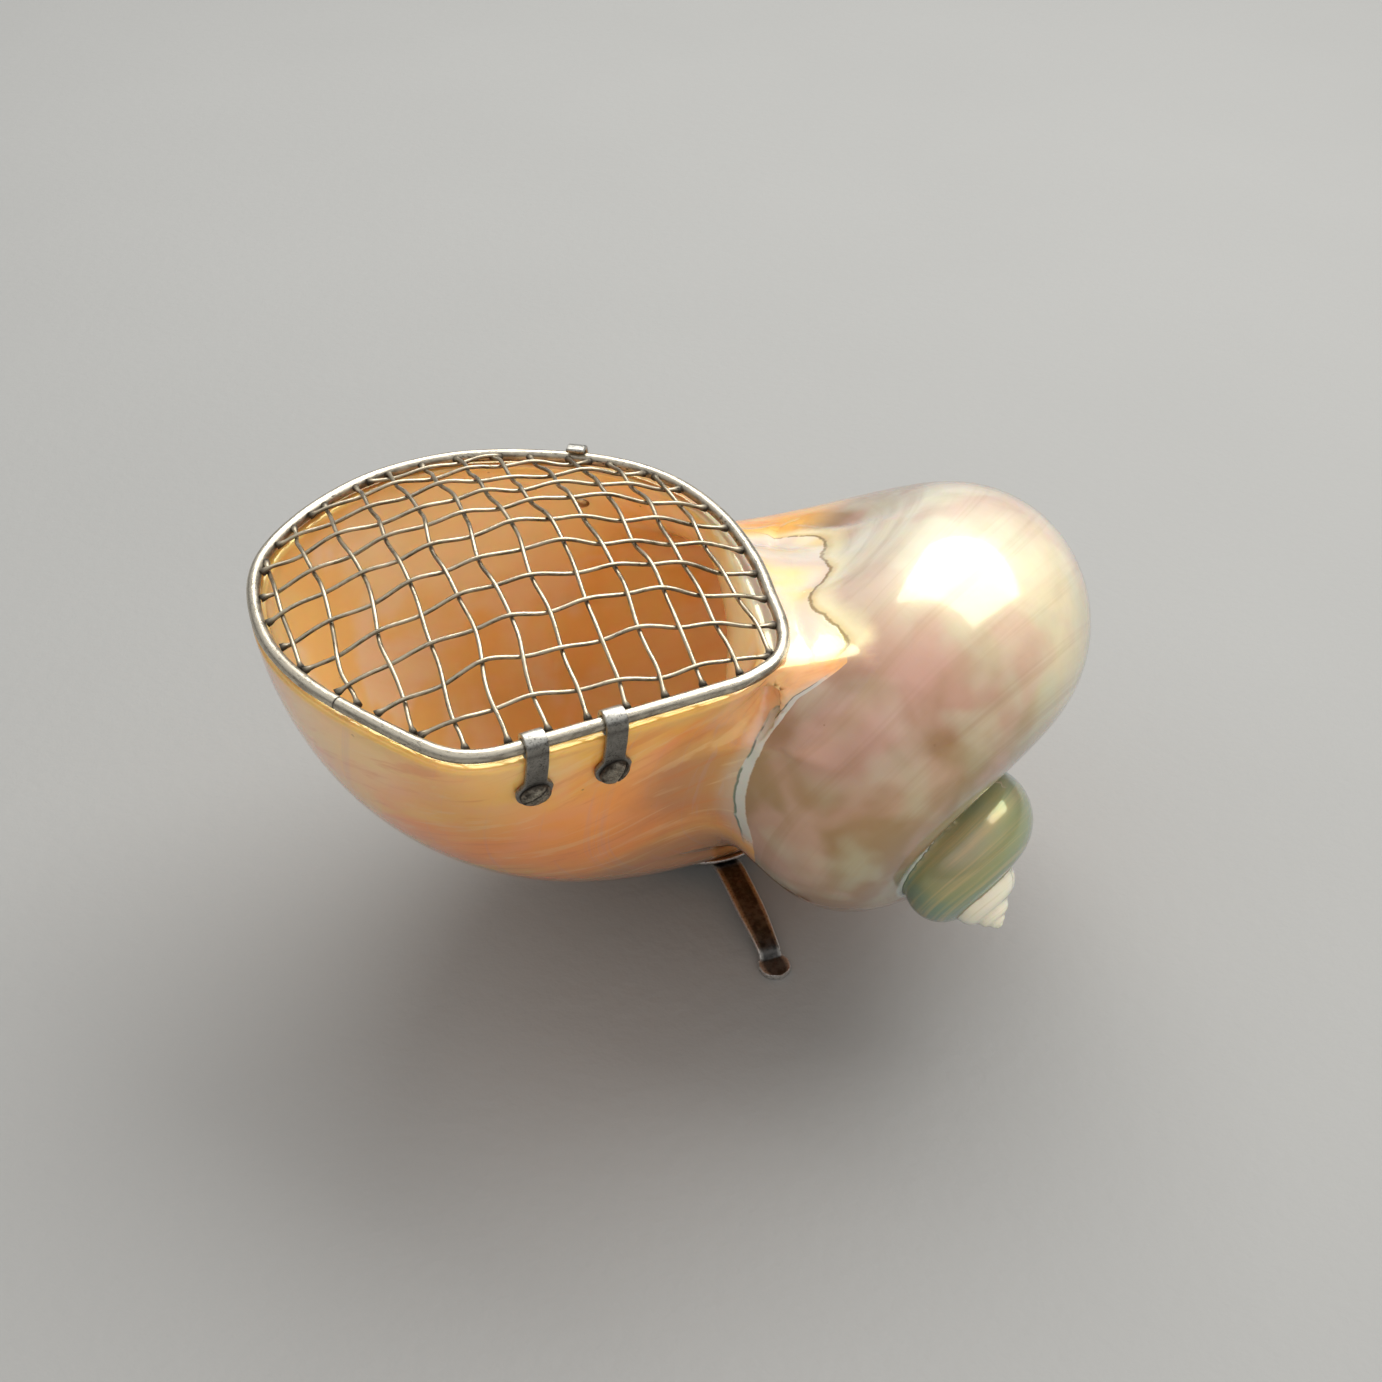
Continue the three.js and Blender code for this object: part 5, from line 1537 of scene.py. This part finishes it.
class OBJECT_OT_shell_box_catch(bpy.types.Operator):
    """Make the spring clip that holds the lid shut, and the foot that it is bent from"""

    bl_idname = "object.shell_box_catch"
    bl_label = "Spring clip"
    bl_options = {"REGISTER", "UNDO"}

    def execute(self, context):
        look = context.scene.shell_box_metal
        wall = context.scene.shell_box_shell.wall / MM
        thick = look.strap_thickness / MM
        random = np.random.default_rng(context.scene.shell_box_stage.seed)
        finish = metal_finish(look, "strap_worn")
        ahead = next(k for k, (x, y) in enumerate(HOOP_CORNERS) if y > 0 and x < CATCH_PLACE and k > 0)
        a, b = HOOP_CORNERS[ahead - 1], HOOP_CORNERS[ahead]
        origin = np.append(a + (b - a) * (CATCH_PLACE - a[0]) / (b[0] - a[0]), 0)
        side = np.append(unit(b - a), 0)
        out = np.cross(side, UP)
        spot = wall_spot(origin - UP * SCREW_DEPTH, out)
        foot_top, spring_low = leaf_line(origin, out, (CATCH_BEND + GAP / 2, CATCH_BEND - GAP / 2), thick)
        foot = leaf_line(origin, out, (SCREW_DEPTH, CATCH_FOOT_BEND), thick) + [foot_top]
        path, widths = strap_with_eye(foot, spot, origin, out, CATCH_WIDTH, thick)
        piece = add_solid(
            "catch_foot_leaf", *strip(path, side, widths, thick), finish, "base", "strap", "catch_foot"
        )
        points, edges = strap_edge_sheen(piece, path, side, widths)
        # Painted highlight along the edges
        tag(piece, "wear_and_sheen", edges)
        # Painted shade round the screw's head
        tag(piece, "dirt_and_shade", 0.5 * smoothstep(-np.linalg.norm(points - spot[0], axis=1), -2.9, -1.9))
        rise = look.hoop_wire / MM / 2 + GAP + CATCH_CLEARANCE + thick / 2
        upper = leaf_line(origin, out, (CATCH_UPPER,), thick)
        hook = [(rise, -0.6)] + arc(rise, 20, 80, 4) + [(-CATCH_NOSE, rise)]
        line = side_view(bent([spring_low] + upper + hook, 0.25), origin, out)
        widths = np.full(len(line), float(CATCH_WIDTH))
        piece = add_solid(
            "catch_spring", *strip(line, side, widths, thick), finish, "clip", "strap", "catch_clip"
        )
        points, edges = strap_edge_sheen(piece, line, side, widths)
        # Painted highlight along the edges and over the hook's top
        tag(piece, "wear_and_sheen", np.maximum(edges * 0.6, smoothstep(points[:, 2], 0.5, 1.6)))
        # Painted shade lower down
        tag(piece, "dirt_and_shade", 0.4 * smoothstep(-points[:, 2], -0.5, 1.0))
        head = GAP + thick + GAP / 2
        inner = wall_depth(*spot, wall)
        add_screw(
            "catch_screw", *spot, head - HEAD_SUNK, look.screw_head / MM / 2, SHANK_RADIUS,
            head + inner + PEENED_SUNK, *CATCH_SLOT, metal_finish(look, "screw_worn"), random,
        )
        button = [
            (PEENED_RADIUS * np.sin(t), PEENED_HEIGHT * np.cos(t)) for t in np.radians(np.linspace(0, 90, 10))
        ]
        points, faces = turned(button + [(PEENED_RADIUS, -PEENED_SUNK), (0, -PEENED_SUNK)], 40)
        points = stood(points, spot[0] - spot[1] * inner, -spot[1])
        pale = metal_finish(look, "peened_plain")
        add_solid("catch_nut_peened", points, faces, pale, "base", "strap", "catch_nut")
        return {"FINISHED"}


def dish_drop(r):
    """How far the dish falls at a distance from its middle."""
    return PLATE_DISH - np.sqrt(PLATE_DISH**2 - r**2)


def plate_top():
    """Height of the plate's middle: as high as its dish fits under the shell."""
    seatings = []
    for r in (BOLT_HOLE, 5, 9, PLATE_RADIUS):
        for turn in range(0, 360, 30):
            below = np.append(PLATE_PLACE, -1.2 * MOUTH_LENGTH) + direction(turn) * r
            rise = line_crossing(wall_distance, below, UP, 0, 0.6 * MOUTH_LENGTH)[0]
            seatings.append(below[2] + rise - dish_drop(r))
    return min(seatings) - GAP


class OBJECT_OT_shell_box_stand(bpy.types.Operator):
    """Make the dished plate under the shell, its bolt, and the three riveted legs"""

    bl_idname = "object.shell_box_stand"
    bl_label = "Stand"
    bl_options = {"REGISTER", "UNDO"}

    def execute(self, context):
        look = context.scene.shell_box_metal
        random = np.random.default_rng(context.scene.shell_box_stage.seed)
        finish = metal_finish(look, "leg_worn")
        middle = np.append(PLATE_PLACE, plate_top())
        floor = -MOUTH_PLACE[2] / MM
        upper = [(r, dish_drop(r)) for r in np.linspace(BOLT_HOLE, PLATE_RADIUS - 0.3, 14)]
        rim_r, rim_z = PLATE_RADIUS - PLATE_EDGE, dish_drop(PLATE_RADIUS) - PLATE_THICKNESS / 2
        rim = [(rim_r + x, rim_z + z) for x, z in arc(PLATE_EDGE, 60, -60, 4)]
        lower = [(r, z - PLATE_THICKNESS) for r, z in upper[::-1]]
        points, faces = skin(spun(upper + rim + lower, 96), closed=True)
        points = points + middle
        piece = add_solid("stand_plate_dished", points, faces, finish, "base", "leg", "stand_plate")
        off = np.hypot(*(points[:, :2] - PLATE_PLACE).T)
        tag(piece, "wear_and_sheen", smoothstep(off, PLATE_RADIUS - 0.7, PLATE_RADIUS - 0.2))
        # Darker round the bolt
        tag(piece, "dirt_and_shade", 0.5 * smoothstep(-off, -5.0, -3.0))
        bolt_top = (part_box("stand_bolt")[1][2] - MOUTH_PLACE[2]) / MM
        bolt_spot = middle + UP * GAP
        grip = 2 * GAP + PLATE_THICKNESS
        add_screw(
            "stand_bolt", bolt_spot, -UP, grip - HEAD_SUNK, BOLT_HEAD, BOLT_SHANK,
            grip + bolt_top - bolt_spot[2], *BOLT_SLOT, metal_finish(look, "strap_worn"), random,
        )
        bevelled("stand_nut", metal_finish(look, "nut_plain"), 0.18)
        for name, bearing in LEG_BEARINGS.items():
            self.leg(look, name, bearing, middle, floor, finish)
        return {"FINISHED"}

    def leg(self, look, name, bearing, middle, floor, finish):
        out = direction(bearing)
        side = np.cross(out, UP)
        reach = LEG_REACHES[name]

        def under(r):
            return r, dish_drop(r) - PLATE_THICKNESS - GAP - LEG_THICKNESS / 2

        toe = floor - middle[2] + LEG_THICKNESS / 2
        line = [
            under(LEG_INNER), under(9), under(13), under(PLATE_RADIUS + LEG_PAST_PLATE),
            (reach - FOOT_RUN, toe + FOOT_RISE), (reach - 2, toe + 0.05), (reach - 0.6, toe),
        ]
        path = side_view(bent(line, 0.5), middle, out)
        centre = middle + out * reach + UP * toe
        path, widths = paddle(path, centre, look.leg_width / MM * 0.96, TOE_RADIUS, 0.6)
        path[:, 2] = np.maximum(path[:, 2], floor + LEG_THICKNESS / 2)
        from_toe = np.linalg.norm(path - centre, axis=1)
        start = np.linalg.norm(path - path[0], axis=1)
        round_start = np.sqrt(np.clip(1 - (1 - np.minimum(start / 1.6, 1)) ** 2, 0.05, 1))
        taper = 0.2 * (1 - smoothstep(from_toe, 2.5, 14)) * (from_toe > 2.2)
        widths = widths * round_start * (1 - taper)
        dish = 0.28 * (1 - smoothstep(from_toe, 1.8, 3.4))
        piece = add_solid(
            f"leg_{name}_strap", *strip(path, side, widths, LEG_THICKNESS, 0.3, dish), finish,
            "base", "leg", f"leg_{name}",
        )
        points, wear_and_sheen = strap_edge_sheen(piece, path, side, widths)
        # Painted highlight along the strap's edges and round the toe's rim
        rim = np.linalg.norm(points[:, :2] - centre[:2], axis=1) - TOE_RADIUS
        toe_rim = smoothstep(rim, -0.55, -0.1) * (1 - smoothstep(rim, 0, 0.5))
        toe_rim = toe_rim * smoothstep((points - centre) @ out, -1.5, -0.7) * (points[:, 2] < floor + 2)
        tag(piece, "wear_and_sheen", np.maximum(wear_and_sheen, toe_rim))
        # Painted shade near the floor
        tag(piece, "dirt_and_shade", 0.3 * (1 - smoothstep(points[:, 2], floor, floor + 3)))
        top = middle + out * RIVET_PLACE + UP * (dish_drop(RIVET_PLACE - RIVET_RADIUS) - 0.05)
        low = -(PLATE_THICKNESS + 2 * GAP + LEG_THICKNESS)
        neck = low + 0.2
        turn = np.radians(np.linspace(0, 80, 9))
        head = [(RIVET_HEAD * np.cos(t), neck - (RIVET_HEAD_HEIGHT + 0.2) * np.sin(t)) for t in turn]
        profile = [(0, 0), (RIVET_RADIUS, 0), (RIVET_RADIUS, neck)] + head + [(0, head[-1][1])]
        points, faces = turned(profile, 40)
        piece = add_solid(
            f"leg_{name}_rivet_domed", points + top, faces, finish, "base", "leg", f"leg_{name}_rivet"
        )
        tag(piece, "wear_and_sheen", smoothstep(low - points[:, 2], 0.2, 0.5))
        tag(piece, "dirt_and_shade", np.zeros(len(points)))


class OBJECT_OT_shell_box_stage(bpy.types.Operator):
    """Make the floor, the soft lights and the camera"""

    bl_idname = "object.shell_box_stage"
    bl_label = "Stage"
    bl_options = {"REGISTER", "UNDO"}

    def lamp(self, name, power, width, height, bearing, elevation, distance, colour, mirrored):
        """A soft rectangular light that looks at the box from a bearing, 0 towards the camera."""
        data = bpy.data.lights.new(name, "AREA")
        data.shape = "RECTANGLE"
        data.energy = power
        data.size, data.size_y = width, height
        data.color = colour
        lamp = bpy.data.objects.new(name, data)
        turn, rise = np.radians(bearing), np.radians(elevation)
        away = Vector((np.sin(turn) * np.cos(rise), -np.cos(turn) * np.cos(rise), np.sin(rise)))
        lamp.location = Vector(LAMP_AIM) + away * distance
        lamp.rotation_euler = away.to_track_quat("Z", "Y").to_euler()
        lamp.visible_glossy = mirrored
        bpy.context.scene.collection.objects.link(lamp)

    def floor(self, look):
        lines = np.linspace(-look.floor_width / 2, look.floor_width / 2, FLOOR_CELLS + 1)
        points = [(x, y, 0.0) for x in lines for y in lines]
        rows = np.arange(len(points)).reshape(len(lines), -1)
        corners = (rows[:-1, :-1], rows[1:, :-1], rows[1:, 1:], rows[:-1, 1:])
        mesh = bpy.data.meshes.new("floor")
        mesh.from_pydata(points, [], np.stack(corners, -1).reshape(-1, 4).tolist())
        mesh.materials.append(floor_finish(tuple(look.floor_colour)))
        floor = bpy.data.objects.new("floor", mesh)
        bpy.context.scene.collection.objects.link(floor)

    def surroundings(self, look):
        """Light from all round, dim at the horizon and brighter above, and the pale backdrop."""
        world = bpy.data.worlds.new("studio")
        world.use_nodes = True
        nodes, links = world.node_tree.nodes, world.node_tree.links
        background = nodes["Background"]
        background.inputs["Strength"].default_value = look.world_light
        height = nodes.new("ShaderNodeSeparateXYZ")
        links.new(nodes.new("ShaderNodeTexCoord").outputs["Generated"], height.inputs[0])
        sky = nodes.new("ShaderNodeValToRGB")
        sky.color_ramp.interpolation = "EASE"
        for element, (position, colour) in zip(sky.color_ramp.elements, SKY):
            element.position, element.color = position, (*colour, 1.0)
        links.new(height.outputs["Z"], sky.inputs[0])
        seen = nodes.new("ShaderNodeMix")
        seen.data_type = "RGBA"
        links.new(nodes.new("ShaderNodeLightPath").outputs["Is Camera Ray"], seen.inputs[0])
        links.new(sky.outputs[0], seen.inputs[6])
        seen.inputs[7].default_value = (*look.backdrop_colour, 1.0)
        links.new(seen.outputs[2], background.inputs["Color"])
        bpy.context.scene.world = world

    def execute(self, context):
        scene = context.scene
        look = scene.shell_box_stage
        self.floor(look)
        self.surroundings(look)
        self.lamp("window", look.window_power, *WINDOW_LAMP)
        self.lamp("fill", look.fill_power, *FILL_LAMP)
        data = bpy.data.cameras.new("camera")
        data.lens = look.lens
        data.sensor_width = SENSOR_WIDTH
        camera = bpy.data.objects.new("camera", data)
        camera.location = CAMERA_PLACE
        aim = Vector(CAMERA_AIM) - camera.location
        camera.rotation_euler = aim.to_track_quat("-Z", "Y").to_euler()
        scene.collection.objects.link(camera)
        scene.camera = camera
        scene.view_settings.view_transform = "Standard"
        return {"FINISHED"}


class VIEW3D_PT_shell_box(bpy.types.Panel):
    """Sizes, colours and pieces of the shell box"""

    bl_label = "Shell Trinket Box"
    bl_idname = "VIEW3D_PT_shell_box"
    bl_space_type = "VIEW_3D"
    bl_region_type = "UI"
    bl_category = "Shell Box"

    def draw(self, context):
        layout = self.layout
        for group in ("shell_box_shell", "shell_box_metal", "shell_box_stage"):
            look = getattr(context.scene, group)
            column = layout.column(align=True)
            for name in look.__annotations__:
                column.prop(look, name)
        for operator in OPERATORS:
            layout.operator(operator.bl_idname)


OPERATORS = (
    OBJECT_OT_shell_box_shell, OBJECT_OT_shell_box_hoop, OBJECT_OT_shell_box_mesh, OBJECT_OT_shell_box_hinges,
    OBJECT_OT_shell_box_catch, OBJECT_OT_shell_box_stand, OBJECT_OT_shell_box_stage,
)
GROUPS = {
    "shell_box_shell": ShellBoxShell, "shell_box_metal": ShellBoxMetal, "shell_box_stage": ShellBoxStage,
}


def register():
    for group in GROUPS.values():
        bpy.utils.register_class(group)
    for name, group in GROUPS.items():
        setattr(bpy.types.Scene, name, PointerProperty(type=group))
    for kind in (*OPERATORS, VIEW3D_PT_shell_box):
        bpy.utils.register_class(kind)


def unregister():
    for kind in (VIEW3D_PT_shell_box, *reversed(OPERATORS)):
        bpy.utils.unregister_class(kind)
    for name in GROUPS:
        delattr(bpy.types.Scene, name)
    for group in reversed(GROUPS.values()):
        bpy.utils.unregister_class(group)


def main():
    register()
    bpy.ops.object.shell_box_shell()
    bpy.ops.object.shell_box_hoop()
    bpy.ops.object.shell_box_mesh()
    bpy.ops.object.shell_box_hinges()
    bpy.ops.object.shell_box_catch()
    bpy.ops.object.shell_box_stand()
    bpy.ops.object.shell_box_stage()


if __name__ == "__main__":
    main()
